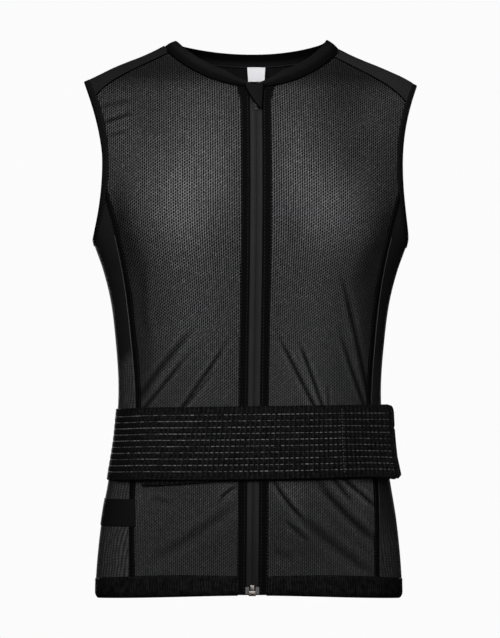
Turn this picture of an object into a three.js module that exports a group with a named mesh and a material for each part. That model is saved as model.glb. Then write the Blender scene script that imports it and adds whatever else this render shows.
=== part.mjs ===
// Back protector vest, shown as worn. Sizes are in millimetres, +Z up, the front faces -Y.
// Heights are above the lower edge of the hem at the sides until the last step.
import * as THREE from 'three';
import { mergeVertices } from 'three/addons/utils/BufferGeometryUtils.js';

// Overall sizes
const SEAT_HEIGHT = 674; // shoulder ridge beside the collar, where the vest sits on the wearer
const NECK_HALF = 108; // collar seam at the side of the neck, from the middle
const SHOULDER_TIP = 205.5; // outer end of the shoulder ridge, from the middle
const SHOULDER_SLOPE = 0.4375; // fall of the ridge for each mm outward
const UNDERARM_HEIGHT = 438;
const ARMHOLE_WAIST = 180.5; // armhole edge where it comes nearest to the middle
const ARMHOLE_WAIST_HEIGHT = 525;
const FRONT_NECK_DROP = 54; // collar seam at the middle front, below the ridge
const BACK_NECK_DROP = 14;
const NECK_ROUNDING = 0.85;
const FRONT_ROLL = 320; // height over which the chest rounds off to the ridge
const BACK_ROLL = 130;
const SQUARENESS = 2.3; // level sections: 2 is an ellipse, more is squarer

// Cloth and trim
const SEAM_GAP = 0.4; // kept between neighbouring pieces
const CLOTH = 0.6; // half of a panel's thickness
const BINDING_WIDTH = 8;
const BINDING_HALF = 1.2;
const TAPE_HALF_WIDTH = 2.9;
const TAPE_HALF = 1.0;
const COLLAR_HEIGHT = 17;
const COLLAR_HALF = 1.2;
const COLLAR_END = 2.5; // gap from each collar end to the middle
const COLLAR_END_HEIGHT = 4;
const COLLAR_TAPER = 36; // the collar's ends narrow over this distance from the middle
const HEM_HEIGHT = 24.5;
const HEM_HALF = 1.2;
const HEM_RISE = 12; // the hem is higher at the middle front than at the sides
const EDGE_GAP = 0.8; // kept where curved edges meet

// Zip
const ZIP_LEAN = 0.007; // sideways lean of the middle line for each mm of height
const ZIP_LEAN_FROM = 360;
const ZIP_TAPE_INNER = 0.25;
const ZIP_TAPE_OUTER = 7.5;
const ZIP_TAPE_HALF = 0.55;
const FACING_OUTER = 18;
const FACING_HALF = 0.95;

// Waist belt
const BELT_TOP = 235;
const BELT_BOTTOM = 148;
const BELT_RIBS = 10;
const BELT_MARGIN = 0.115; // plain share of the height above and below the ribs
const BELT_THICK = 2.0;
const BELT_RIB = 0.5;
const BELT_TILT = 0.011; // rise of the belt for each mm towards the left
const UNDER_LIFT = 2.5; // inner face of the under end, above the middle of the cloth
const OVER_LIFT = 7.0; // the same for the over end, where it crosses the under end
const UNDER_END_X = -133;
const UNDER_SAG = 8; // the under end hangs this much lower at its tip
const UNDER_SAG_FROM = -21;
const BELT_LEAVE = 0.86; // angle from the front, in radians, where the free end leaves the body
const BELT_FREE = 68; // length of the free end past that
const PATCH_THICK = 1.2;

// Back protector
const PAD_TOP = 568;
const PAD_BOTTOM = 112;
const PAD_THICK = 17;
const PAD_EDGE = 5;
const PAD_GROOVES = 5;
const PAD_GROOVE_DEPTH = 4.5;
const PAD_LIFT = 2.5;

const FRONT = -1;
const BACK = 1;

// Level sections of the body form: half width, and depth before and behind the side line
const TORSO = [
  { height: -20, half: 187, front: 122, back: 112 },
  { height: 25, half: 186.5, front: 122, back: 112 },
  { height: 95, half: 180, front: 119, back: 107 },
  { height: 144, half: 172, front: 116, back: 101 },
  { height: 200, half: 163.5, front: 113.5, back: 94 },
  { height: 255, half: 160.5, front: 113, back: 91 },
  { height: 316, half: 164.5, front: 117, back: 96 },
  { height: 365, half: 171, front: 121, back: 103 },
  { height: 402, half: 180.5, front: 124, back: 109 },
  { height: 438, half: 193, front: 126, back: 114 },
  { height: 480, half: 201, front: 127, back: 118 },
  { height: 530, half: 206, front: 127, back: 121 },
  { height: 632, half: 212, front: 124, back: 119 },
  { height: 690, half: 214, front: 122, back: 118 },
];

// Front side seam, from the middle
const SIDE_SEAM = [
  { height: 0, x: 147 },
  { height: 58, x: 148 },
  { height: 143, x: 147 },
  { height: 236, x: 139.5 },
  { height: 320, x: 144 },
  { height: 386, x: 152 },
  { height: 449, x: 165.5 },
  { height: 482, x: 175 },
  { height: 510, x: 184 },
];

// Drop of the shoulder yoke's front seam below the ridge, along the share of its length
const YOKE_START = 102; // where the yoke seam meets the collar seam, from the middle
const YOKE_END = 194;
const FRONT_YOKE = { atNeck: 11, fall: 8, hook: 12 };
const BACK_YOKE = { atNeck: 5, fall: 35, hook: 0 };

// Half width of the back protector at each height
const PAD_OUTLINE = [
  { height: 112, half: 66 },
  { height: 140, half: 95 },
  { height: 190, half: 104 },
  { height: 245, half: 113 },
  { height: 340, half: 122 },
  { height: 450, half: 132 },
  { height: 520, half: 122 },
  { height: 568, half: 84 },
];

// Creases in the front, each a straight groove with a soft ridge on both sides
const FOLDS = [
  { fromX: -133, fromHeight: 252, toX: -89, toHeight: 308, width: 11, depth: 3.4 },
  { fromX: -114, fromHeight: 250, toX: -76, toHeight: 298, width: 10, depth: 2.6 },
  { fromX: -86, fromHeight: 232, toX: -42, toHeight: 294, width: 10, depth: 3.4 },
  { fromX: 34, fromHeight: 302, toX: 68, toHeight: 234, width: 10, depth: 3.2 },
  { fromX: 56, fromHeight: 288, toX: 77, toHeight: 234, width: 9, depth: 2.8 },
  { fromX: 103, fromHeight: 390, toX: 119, toHeight: 328, width: 11, depth: 3.4 },
  { fromX: 118, fromHeight: 335, toX: 137, toHeight: 242, width: 11, depth: 3.0 },
  { fromX: 100, fromHeight: 328, toX: 132, toHeight: 236, width: 10, depth: 2.8 },
  { fromX: 20, fromHeight: 142, toX: 84, toHeight: 70, width: 12, depth: 3.4 },
  { fromX: 62, fromHeight: 142, toX: 138, toHeight: 74, width: 12, depth: 3.6 },
  { fromX: 93, fromHeight: 146, toX: 138, toHeight: 118, width: 10, depth: 2.6 },
  { fromX: -24, fromHeight: 142, toX: -98, toHeight: 62, width: 12, depth: 2.8 },
  { fromX: -182, fromHeight: 602, toX: -152, toHeight: 609, width: 9, depth: 1.8 },
  { fromX: -176, fromHeight: 585, toX: -146, toHeight: 590, width: 9, depth: 1.8 },
  { fromX: -152, fromHeight: 436, toX: -122, toHeight: 352, width: 22, depth: 3.4 },
  { fromX: 150, fromHeight: 436, toX: 120, toHeight: 372, width: 22, depth: 3.2 },
];

const { lerp, clamp, smoothstep } = THREE.MathUtils;

// A smooth curve through one column of a table, against another
function through(rows, along, column) {
  const curve = new THREE.CubicInterpolant(rows.map((row) => row[along]), rows.map((row) => row[column]), 1);
  return (value) => curve.evaluate(value)[0];
}

const torsoHalf = through(TORSO, 'height', 'half');
const torsoFront = through(TORSO, 'height', 'front');
const torsoBack = through(TORSO, 'height', 'back');
const seamX = through(SIDE_SEAM, 'height', 'x');
const padHalf = through(PAD_OUTLINE, 'height', 'half');

// The zip's middle line leans a little to one side
function middleX(height) {
  return ZIP_LEAN * (height - ZIP_LEAN_FROM);
}

// Height of the shoulder ridge; inside the neck opening it is level
function ridgeHeight(x) {
  return SEAT_HEIGHT - SHOULDER_SLOPE * (Math.max(Math.abs(x), YOKE_START) - NECK_HALF);
}

// Share of the full depth that is left near the shoulder ridge
function roundOff(side, x, height) {
  const roll = side === FRONT ? FRONT_ROLL : BACK_ROLL;
  const drop = clamp((ridgeHeight(x) - height) / roll, 0, 1);
  return Math.sqrt(drop * (2 - drop));
}

// Outward shift of the cloth by the creases
function foldShift(x, height) {
  let shift = 0;
  for (const fold of FOLDS) {
    const alongX = fold.toX - fold.fromX;
    const alongHeight = fold.toHeight - fold.fromHeight;
    const length = Math.hypot(alongX, alongHeight);
    const fromX = x - fold.fromX;
    const fromHeight = height - fold.fromHeight;
    const share = (fromX * alongX + fromHeight * alongHeight) / length ** 2;
    const away = (fromX * alongHeight - fromHeight * alongX) / length / fold.width;
    const ends = smoothstep(share, -0.15, 0.2) * (1 - smoothstep(share, 0.7, 1.15));
    shift -= fold.depth * ends * (1 - 1.3 * away * away) * Math.exp(-away * away);
  }
  return shift;
}

// A point of the body form seen from the front or the back
function formPoint(side, x, height, creased = true) {
  const across = Math.max(0, 1 - (Math.abs(x) / torsoHalf(height)) ** SQUARENESS) ** (1 / SQUARENESS);
  const full = side === FRONT ? torsoFront(height) : torsoBack(height);
  const crease = creased && side === FRONT ? foldShift(x, height) * Math.min(1, 2 * across) : 0;
  return new THREE.Vector3(x, side * (full * across * roundOff(side, x, height) + crease), height);
}

// A point of the body form at an angle round the body, from the middle front towards +X
function ringPoint(angle, height, creased = true) {
  const side = Math.cos(angle) > 0 ? FRONT : BACK;
  const depth = side === FRONT ? torsoFront(height) : torsoBack(height);
  const wide = (Math.abs(Math.sin(angle)) / torsoHalf(height)) ** SQUARENESS;
  const deep = (Math.abs(Math.cos(angle)) / depth) ** SQUARENESS;
  const x = Math.sin(angle) * (wide + deep) ** (-1 / SQUARENESS);
  const y = -Math.cos(angle) * (wide + deep) ** (-1 / SQUARENESS) * roundOff(side, x, height);
  const crease = creased && side === FRONT ? foldShift(x, height) * Math.min(1, 2 * Math.abs(y) / depth) : 0;
  return new THREE.Vector3(x, y + side * crease, height);
}

// Angle round the body, as ringPoint counts it, of a place seen from the front or the back
function angleAt(side, x, height) {
  const across = Math.max(0, 1 - (Math.abs(x) / torsoHalf(height)) ** SQUARENESS) ** (1 / SQUARENESS);
  const depth = side === FRONT ? torsoFront(height) : torsoBack(height);
  return Math.atan2(x, -side * depth * across);
}

// Armhole edge, set in by some distance: x at each height, and points all the way round
function armholeX(height, inset) {
  const waist = ARMHOLE_WAIST - inset;
  const tip = SHOULDER_TIP - inset * Math.cos(Math.atan(SHOULDER_SLOPE));
  const upper = height > ARMHOLE_WAIST_HEIGHT;
  const end = upper ? tip : torsoHalf(UNDERARM_HEIGHT - inset);
  const endHeight = upper ? ridgeHeight(tip) : UNDERARM_HEIGHT - inset;
  const share = Math.min(1, (height - ARMHOLE_WAIST_HEIGHT) / (endHeight - ARMHOLE_WAIST_HEIGHT));
  return waist + (end - waist) * share * share;
}

// Height at which a line beside the side seam reaches the armhole edge
function seamMeetsArmhole(beside, inset) {
  let low = UNDERARM_HEIGHT;
  let high = ARMHOLE_WAIST_HEIGHT;
  for (let pass = 0; pass < 40; pass++) {
    const middle = (low + high) / 2;
    if (seamX(middle) + beside < armholeX(middle, inset)) low = middle;
    else high = middle;
  }
  return low;
}

function armholePoint(turn, inset) {
  const tip = SHOULDER_TIP - inset * Math.cos(Math.atan(SHOULDER_SLOPE));
  const top = ridgeHeight(tip);
  const bottom = UNDERARM_HEIGHT - inset;
  const height = lerp(bottom, top, (1 + Math.cos(2 * Math.PI * turn)) / 2);
  return formPoint(turn < 0.5 ? FRONT : BACK, armholeX(height, inset), height);
}

// Seams round the neck and over the shoulders
function neckHeight(side, x) {
  const drop = side === FRONT ? FRONT_NECK_DROP : BACK_NECK_DROP;
  return SEAT_HEIGHT - drop * Math.max(0, 1 - (x / NECK_HALF) ** 2) ** NECK_ROUNDING;
}

function yokeDrop(side, share) {
  const yoke = side === FRONT ? FRONT_YOKE : BACK_YOKE;
  return yoke.atNeck + yoke.fall * share + yoke.hook * share ** 5;
}

function panelTop(side, x) {
  if (x < YOKE_START) return neckHeight(side, x) - SEAM_GAP * 1.5;
  const share = clamp((x - YOKE_START) / (YOKE_END - YOKE_START), 0, 1);
  return Math.min(neckHeight(side, YOKE_START), ridgeHeight(x) - yokeDrop(side, share)) - SEAM_GAP * 1.5;
}

// Lower edge of the cloth: the hem, which rises towards the middle front
function hemLift(angle) {
  return HEM_RISE * Math.max(0, Math.cos(angle)) ** 1.3;
}

// The direction square to a patch, pointing out of the body
function patchNormal(place, u, v, outward) {
  const step = 1e-3;
  const low = (value) => Math.max(0, value - step);
  const high = (value) => Math.min(1, value + step);
  const alongU = place(high(u), v).sub(place(low(u), v));
  const alongV = place(u, high(v)).sub(place(u, low(v)));
  return alongU.cross(alongV).normalize().multiplyScalar(outward);
}

function outwardSign(place) {
  const middle = place(0.5, 0.5);
  const fromAxis = new THREE.Vector3(middle.x, middle.y, 60);
  return patchNormal(place, 0.5, 0.5, 1).dot(fromAxis) > 0 ? 1 : -1;
}

// A closed solid from points and triangles, with its faces outward
function solid(points, triangles) {
  let volume = 0;
  for (const [a, b, c] of triangles) volume += points[a].dot(points[b].clone().cross(points[c]));
  const faces = volume > 0 ? triangles : triangles.map(([a, b, c]) => [a, c, b]);
  const geometry = new THREE.BufferGeometry().setFromPoints(points);
  geometry.setIndex(faces.flat());
  return geometry;
}

function evenSteps(count) {
  return Array.from({ length: count + 1 }, (_, i) => i / count);
}

// Steps from 0 to 1 of which one falls on a corner of the outline
function stepsWithCorner(count, corner) {
  const before = Math.round(count * corner);
  const after = count - before;
  return [
    ...evenSteps(before).map((step) => step * corner),
    ...evenSteps(after).slice(1).map((step) => lerp(corner, 1, step)),
  ];
}

// A wall over a patch: both faces and the four edges
function wall(place, us, vs, inner, outer) {
  const outward = outwardSign(place);
  const points = [];
  for (const lift of [inner, outer]) {
    for (const u of us) {
      for (const v of vs) {
        const high = typeof lift === 'function' ? lift(u, v) : lift;
        points.push(place(u, v).addScaledVector(patchNormal(place, u, v, outward), high));
      }
    }
  }
  const rows = vs.length;
  const face = us.length * rows;
  const at = (i, j, top) => i * rows + j + top * face;
  const triangles = [];
  const quad = (a, b, c, d) => triangles.push([a, b, c], [a, c, d]);
  const lastU = us.length - 1;
  const lastV = rows - 1;
  const halfway = (a, b) => points[a].clone().add(points[b]).multiplyScalar(0.5);
  for (let i = 0; i < lastU; i++) {
    for (let j = 0; j < lastV; j++) {
      const outerCorners = [at(i, j, 1), at(i + 1, j, 1), at(i + 1, j + 1, 1), at(i, j + 1, 1)];
      const innerCorners = [at(i, j, 0), at(i, j + 1, 0), at(i + 1, j + 1, 0), at(i + 1, j, 0)];
      const [a, b, c, d] = innerCorners;
      const middle = place((us[i] + us[i + 1]) / 2, (vs[j] + vs[j + 1]) / 2);
      const turned = halfway(b, d).distanceTo(middle) < halfway(a, c).distanceTo(middle);
      for (const corners of [outerCorners, innerCorners]) {
        const first = corners.shift();
        quad(...(turned ? [...corners, first] : [first, ...corners]));
      }
    }
    quad(at(i, 0, 0), at(i + 1, 0, 0), at(i + 1, 0, 1), at(i, 0, 1));
    quad(at(i, lastV, 1), at(i + 1, lastV, 1), at(i + 1, lastV, 0), at(i, lastV, 0));
  }
  for (let j = 0; j < lastV; j++) {
    quad(at(0, j, 1), at(0, j + 1, 1), at(0, j + 1, 0), at(0, j, 0));
    quad(at(lastU, j, 0), at(lastU, j + 1, 0), at(lastU, j + 1, 1), at(lastU, j, 1));
  }
  return solid(points, triangles);
}

// A strip: a flat closed outline of shares across and lifts, swept along the patch's first direction
function strip(place, outline, stations, closed = false, rise = () => 0) {
  const outward = outwardSign(place);
  const points = [];
  for (const u of stations) {
    for (const [across, lift] of outline) {
      points.push(place(u, across).addScaledVector(patchNormal(place, u, across, outward), lift + rise(u)));
    }
  }
  const size = outline.length;
  const triangles = [];
  const spans = closed ? stations.length : stations.length - 1;
  for (let i = 0; i < spans; i++) {
    const next = (i + 1) % stations.length;
    for (let j = 0; j < size; j++) {
      const k = (j + 1) % size;
      triangles.push([i * size + j, next * size + j, next * size + k]);
      triangles.push([i * size + j, next * size + k, i * size + k]);
    }
  }
  if (!closed) {
    const flat = outline.map(([across, lift]) => new THREE.Vector2(100 * across, lift));
    const turn = THREE.ShapeUtils.area(flat) > 0;
    const end = (stations.length - 1) * size;
    for (const [a, b, c] of THREE.ShapeUtils.triangulateShape(flat, [])) {
      const same = THREE.ShapeUtils.area([flat[a], flat[b], flat[c]]) > 0 === turn;
      const [second, third] = same ? [b, c] : [c, b];
      triangles.push([a, second, third], [end + a, end + third, end + second]);
    }
  }
  return solid(points, triangles);
}

function flatOutline(half) {
  return [[0, -half], [1, -half], [1, half], [0, half]];
}

// Front mesh panels
const PANEL_ROWS_LEVEL = 570; // rows of a panel are level up to here, then follow its top seam
const LEVEL_SHARE = 0.88;
function frontEdge(height) {
  const atBinding = armholeX(height, BINDING_WIDTH + EDGE_GAP);
  if (height > ARMHOLE_WAIST_HEIGHT) return atBinding;
  return Math.min(atBinding, seamX(height) - TAPE_HALF_WIDTH - SEAM_GAP * 1.5);
}

function panelPlace(side, hand, innerX, edge, bottom) {
  return (u, v) => {
    let top = PANEL_ROWS_LEVEL;
    for (let pass = 0; pass < 14; pass++) top = panelTop(side, lerp(innerX(top), edge(top), u));
    const height = v < LEVEL_SHARE
      ? lerp(bottom(u), PANEL_ROWS_LEVEL, v / LEVEL_SHARE)
      : lerp(PANEL_ROWS_LEVEL, top, (v - LEVEL_SHARE) / (1 - LEVEL_SHARE));
    return formPoint(side, hand * lerp(innerX(height), edge(height), u), height);
  };
}

function hemTop(angle) {
  return HEM_HEIGHT + SEAM_GAP + hemLift(angle);
}

// Rows close together where the cloth is creased, far apart under the belt and on the chest
function panelRows() {
  const bands = [
    { to: 142, rows: 9 }, { to: 236, rows: 3 }, { to: 340, rows: 9 }, { to: PANEL_ROWS_LEVEL, rows: 10 },
  ];
  const bottom = hemTop(0);
  const shares = [0];
  let from = bottom;
  for (const band of bands) {
    for (let i = 1; i <= band.rows; i++) {
      const height = lerp(from, band.to, i / band.rows);
      shares.push(LEVEL_SHARE * (height - bottom) / (PANEL_ROWS_LEVEL - bottom));
    }
    from = band.to;
  }
  for (let i = 1; i <= 3; i++) shares.push(lerp(LEVEL_SHARE, 1, i / 3));
  return shares;
}

function frontMesh(hand) {
  const innerX = (height) => hand * middleX(height) + FACING_OUTER + SEAM_GAP;
  const bottom = (u) => hemTop(angleAt(FRONT, lerp(innerX(30), frontEdge(30), u), 30));
  const place = panelPlace(FRONT, hand, innerX, frontEdge, bottom);
  const top = panelTop(FRONT, YOKE_START);
  const corner = (YOKE_START - innerX(top)) / (frontEdge(top) - innerX(top));
  return wall(place, stepsWithCorner(12, corner), panelRows(), -CLOTH, CLOTH);
}

// Back panel, one piece from side seam to side seam
function backEdge(height) {
  const atBinding = armholeX(height, BINDING_WIDTH + EDGE_GAP);
  if (height > ARMHOLE_WAIST_HEIGHT) return atBinding;
  return Math.min(atBinding, seamX(height) - SEAM_GAP / 2);
}

function backPanel() {
  const place = (u, v) => {
    const across = 2 * u - 1;
    const half = panelPlace(BACK, Math.sign(across) || 1, () => 0, backEdge, () => HEM_HEIGHT + SEAM_GAP);
    return half(Math.abs(across), v);
  };
  const share = (height) => LEVEL_SHARE * (height - HEM_HEIGHT) / (PANEL_ROWS_LEVEL - HEM_HEIGHT);
  const levels = [80, 135, 185, 235, 285, 335, 385, 435, 462, 489, 516, 543].map(share);
  const corner = YOKE_START / backEdge(panelTop(BACK, YOKE_START));
  const half = stepsWithCorner(6, corner).map((step) => step / 2);
  const columns = [...half.slice(1).reverse().map((step) => 0.5 - step), ...half.map((step) => 0.5 + step)];
  return wall(place, columns, [0, ...levels, 0.88, 0.915, 0.945, 0.97, 0.987, 1], -CLOTH, CLOTH);
}

// Side panels, with the underarm cut out of the top
function sidePanel(hand) {
  const inset = BINDING_WIDTH + EDGE_GAP;
  const bottomOfHole = UNDERARM_HEIGHT - inset;
  const tip = SHOULDER_TIP - inset * Math.cos(Math.atan(SHOULDER_SLOPE));
  const reach = seamMeetsArmhole(TAPE_HALF_WIDTH + SEAM_GAP, inset);
  const share = (reach - bottomOfHole) / (ridgeHeight(tip) - bottomOfHole);
  const startTurn = Math.acos(2 * share - 1) / (2 * Math.PI);
  const frontAngle = (height) => angleAt(FRONT, seamX(height) + TAPE_HALF_WIDTH + SEAM_GAP, height);
  const backAngle = (height) => angleAt(BACK, seamX(height) + SEAM_GAP / 2, height);
  const place = (u, v) => {
    const edge = armholePoint(lerp(startTurn, 1 - startTurn, u), inset);
    const low = hemTop(lerp(frontAngle(30), backAngle(30), u));
    const height = lerp(low, edge.z, v);
    const plain = lerp(frontAngle(height), backAngle(height), u);
    const atEdge = lerp(frontAngle(edge.z), backAngle(edge.z), u);
    const shape = roundOff(u < 0.5 ? FRONT : BACK, edge.x, edge.z);
    const edgeAngle = Math.atan2(edge.x, -edge.y / shape);
    return ringPoint(hand * (plain + v ** 4 * (edgeAngle - atEdge)), height);
  };
  return wall(place, evenSteps(10), evenSteps(12), -CLOTH, CLOTH);
}

// Tape over the front side seam
function seamTape(hand) {
  const place = (u, across) => {
    const top = seamMeetsArmhole(lerp(-TAPE_HALF_WIDTH, TAPE_HALF_WIDTH, across), BINDING_WIDTH + EDGE_GAP);
    const low = hemTop(angleAt(FRONT, seamX(30), 30));
    const height = lerp(low, top, u);
    return formPoint(FRONT, hand * (seamX(height) + lerp(-TAPE_HALF_WIDTH, TAPE_HALF_WIDTH, across)), height);
  };
  return strip(place, flatOutline(TAPE_HALF), evenSteps(26));
}

// Yoke over the shoulder ridge, from its front seam to its back seam
function shoulderYoke(hand) {
  const inset = BINDING_WIDTH + EDGE_GAP;
  const place = (u, v) => {
    const over = 2 * v - 1;
    const side = over < 0 ? FRONT : BACK;
    const heightAt = (x, share) => ridgeHeight(x) - (yokeDrop(side, share) - EDGE_GAP) * over ** 2;
    let outer = YOKE_END;
    for (let pass = 0; pass < 14; pass++) outer = armholeX(heightAt(outer, 1), inset);
    const inner = NECK_HALF + 1.2 - (NECK_HALF - YOKE_START) * over ** 2;
    const x = lerp(inner, outer, u);
    return formPoint(side, hand * x, heightAt(x, clamp((x - YOKE_START) / (YOKE_END - YOKE_START), 0, 1)));
  };
  return wall(place, evenSteps(6), evenSteps(8), -CLOTH, CLOTH);
}

// Binding round the armhole
function armholeBinding(hand) {
  const place = (u, across) => {
    const point = armholePoint(((u % 1) + 1) % 1, BINDING_WIDTH * across);
    point.x *= hand;
    return point;
  };
  const stations = evenSteps(38).slice(0, -1);
  return strip(place, flatOutline(BINDING_HALF), stations, true);
}

// Collar band, which leans inward most at the sides of the neck
function collar() {
  const firstAngle = Math.asin(COLLAR_END / NECK_HALF);
  const lean = { front: 0.35, side: 0.94, back: 0.26 };
  const place = (u, across) => {
    const angle = lerp(firstAngle, 2 * Math.PI - firstAngle, u);
    const side = Math.cos(angle) > 0 ? FRONT : BACK;
    const x = NECK_HALF * Math.sin(angle);
    const base = formPoint(side, x, neckHeight(side, x), false);
    const tilt = lerp(side === FRONT ? lean.front : lean.back, lean.side, Math.sin(angle) ** 2);
    const inward = new THREE.Vector3(-base.x, -10 - base.y, 0).normalize();
    const rise = new THREE.Vector3(0, 0, Math.cos(tilt)).addScaledVector(inward, Math.sin(tilt));
    const taper = side === FRONT ? clamp((Math.abs(x) - COLLAR_END) / COLLAR_TAPER, 0, 1) : 1;
    const tall = lerp(COLLAR_END_HEIGHT, COLLAR_HEIGHT, taper);
    return base.addScaledVector(rise, lerp(SEAM_GAP * 1.5, tall, across));
  };
  return strip(place, flatOutline(COLLAR_HALF), evenSteps(42));
}

// Upright strips at the middle front
function frontStrip(hand, innerX, outerX, half, rows, topGap) {
  const place = (u, across) => {
    const x = lerp(innerX, outerX, across);
    const height = lerp(hemLift(0) + 1, neckHeight(FRONT, x) - topGap, u);
    return formPoint(FRONT, middleX(height) + hand * x, height);
  };
  return strip(place, flatOutline(half), evenSteps(rows));
}

// A flat piece laid on the front, between two heights and two edges that may slope
function laidOn(left, right, low, high, inner, outer, columns, rows) {
  const place = (u, v) => {
    const x = lerp(lerp(left.low, left.high, v), lerp(right.low, right.high, v), u);
    const height = lerp(low, high, v);
    return formPoint(FRONT, middleX(height) + x, height, false);
  };
  return wall(place, evenSteps(columns), evenSteps(rows), inner, outer);
}

// Hem band, from zip to zip round the back
function hemBand() {
  const start = angleAt(FRONT, middleX(20) + FACING_OUTER + SEAM_GAP, 20);
  const end = angleAt(FRONT, middleX(20) - FACING_OUTER - SEAM_GAP, 20) + 2 * Math.PI;
  const place = (u, across) => {
    const angle = lerp(start, end, u);
    return ringPoint(angle, hemLift(angle) + HEM_HEIGHT * across, false);
  };
  return strip(place, flatOutline(HEM_HALF), evenSteps(38));
}

// Waist belt: outline of one end with its ribs, and the two ends
function beltOutline() {
  const outline = [[0, 0], [0, BELT_THICK]];
  const pitch = (1 - 2 * BELT_MARGIN) / (BELT_RIBS - 1);
  for (let rib = 0; rib < BELT_RIBS; rib++) {
    const centre = BELT_MARGIN + rib * pitch;
    outline.push([centre - 0.4 * pitch, BELT_THICK], [centre, BELT_THICK + BELT_RIB]);
  }
  outline.push([1 - BELT_MARGIN + 0.4 * pitch, BELT_THICK], [1, BELT_THICK], [1, 0]);
  return outline;
}

function beltHeight(x, across) {
  return lerp(BELT_BOTTOM, BELT_TOP, across) + BELT_TILT * x;
}

function padSideAngle(height) {
  return angleAt(BACK, padHalf(height) + 2, height);
}

function beltUnder() {
  const middle = (BELT_TOP + BELT_BOTTOM) / 2;
  const endAngle = angleAt(FRONT, UNDER_END_X, middle);
  const place = (u, across) => {
    const start = padSideAngle(lerp(BELT_BOTTOM, BELT_TOP, across));
    const angle = lerp(start, endAngle, u);
    const x = ringPoint(angle, middle, false).x;
    const front = Math.cos(angle) > 0;
    const sag = front ? UNDER_SAG * (1 - smoothstep(x, UNDER_END_X, UNDER_SAG_FROM)) : 0;
    return ringPoint(angle, beltHeight(x, across) - 1.5 - sag, false);
  };
  return strip(place, beltOutline(), evenSteps(20), false, () => UNDER_LIFT);
}

// The over end follows the body, then runs straight on past its left side
function overPlace(u, across, from = 0) {
  const followShare = 0.86;
  const start = -padSideAngle(lerp(BELT_BOTTOM, BELT_TOP, across));
  const along = lerp(from, 1, u);
  const point = (angle) => {
    const x = ringPoint(angle, (BELT_TOP + BELT_BOTTOM) / 2, false).x;
    return ringPoint(angle, beltHeight(x, across), false);
  };
  if (along < followShare) return point(lerp(start, BELT_LEAVE, along / followShare));
  const last = point(BELT_LEAVE);
  const heading = last.clone().sub(point(BELT_LEAVE - 0.02)).normalize();
  const flare = 2 * (1 - across) * (along - followShare) / (1 - followShare);
  return last.addScaledVector(heading, (BELT_FREE + flare) * (along - followShare) / (1 - followShare));
}

function overRise(u, from = 0) {
  const along = lerp(from, 1, u);
  return lerp(UNDER_LIFT, OVER_LIFT, smoothstep(along, 0.24, 0.31));
}

function beltOver() {
  return strip((u, v) => overPlace(u, v), beltOutline(), evenSteps(24), false, (u) => overRise(u));
}

function beltHookPatch() {
  const from = 0.79;
  const place = (u, across) => overPlace(Math.min(u, 0.985), lerp(0.06, 0.94, across), from);
  const low = -SEAM_GAP - PATCH_THICK;
  const outline = [[0, low], [1, low], [1, -SEAM_GAP], [0, -SEAM_GAP]];
  const stations = evenSteps(8).map((u) => 0.985 * u);
  return strip(place, outline, stations, false, () => OVER_LIFT);
}

// Tab sewn to the right side seam, round to the side
function sideTab() {
  const size = { low: 87, high: 120.5, front: -145, backAngle: 1.78 };
  const place = (u, across) => {
    const height = lerp(size.low, size.high, across);
    return ringPoint(lerp(angleAt(FRONT, size.front, height), -size.backAngle, u), height, false);
  };
  return strip(place, [[0, 1.6], [1, 1.6], [1, 3], [0, 3]], evenSteps(10));
}

// Back protector: a pad with soft edges and grooves across it that let it bend
function backProtector() {
  const place = (u, v) => {
    const height = lerp(PAD_BOTTOM, PAD_TOP, v);
    return formPoint(BACK, (2 * u - 1) * padHalf(height), height);
  };
  const thickness = (u, v) => {
    const edge = Math.min(1 - Math.abs(2 * u - 1), 2.2 * Math.min(v, 1 - v));
    const full = lerp(PAD_EDGE, PAD_THICK, Math.sqrt(smoothstep(edge, 0, 0.2)));
    const groove = Math.abs(((v * (PAD_GROOVES + 1)) % 1) - 0.5) * 2;
    const inField = v > 0.5 / (PAD_GROOVES + 1) && v < 1 - 0.5 / (PAD_GROOVES + 1);
    return PAD_LIFT + full - (inField ? PAD_GROOVE_DEPTH * smoothstep(groove, 0.72, 1) : 0);
  };
  const us = [0, 0.04, 0.14, 0.32, 0.5, 0.68, 0.86, 0.96, 1];
  const vs = [0, 0.012];
  for (let cell = 0; cell <= PAD_GROOVES; cell++) {
    vs.push((cell + 0.15) / (PAD_GROOVES + 1), (cell + 0.85) / (PAD_GROOVES + 1), (cell + 1) / (PAD_GROOVES + 1));
  }
  vs.splice(vs.length - 1, 0, 0.988);
  return wall(place, us, vs, PAD_LIFT, thickness);
}

// Blank label that hangs inside the back of the neck
function neckLabel() {
  const size = { middleX: 9.4, halfTop: 11.3, halfBottom: 10.2, low: 640, high: 658.5 };
  const place = (u, v) => {
    const half = lerp(size.halfBottom, size.halfTop, v);
    return formPoint(BACK, size.middleX + (2 * u - 1) * half, lerp(size.low, size.high, v));
  };
  return wall(place, evenSteps(3), evenSteps(3), -2.1, -1.3);
}

// Slider of the zip: a rounded plate with a raised bridge, seated on the tapes
function zipSlider() {
  const plate = new THREE.Shape();
  plate.absarc(0, 4, 4.6, 0, Math.PI);
  plate.absarc(0, -4.2, 3.4, Math.PI, 2 * Math.PI);
  const body = new THREE.ExtrudeGeometry(plate, { depth: 2.6, bevelEnabled: false, curveSegments: 8 });
  return laidSolid(body, 0, 596, 1.0);
}

// Box at the foot of the zip: a block with eased corners
function zipBox() {
  const face = new THREE.Shape();
  const half = { x: 4, height: 6.6 };
  const ease = 1.2;
  face.moveTo(-half.x + ease, -half.height);
  face.lineTo(half.x - ease, -half.height);
  face.lineTo(half.x, -half.height + ease);
  face.lineTo(half.x, half.height);
  face.lineTo(-half.x, half.height);
  face.lineTo(-half.x, -half.height + ease);
  const body = new THREE.ExtrudeGeometry(face, {
    depth: 1.4, bevelEnabled: true, bevelSize: 0.4, bevelThickness: 0.4, bevelSegments: 1,
  });
  return laidSolid(body, 0, 19.5, 1.4);
}

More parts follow.
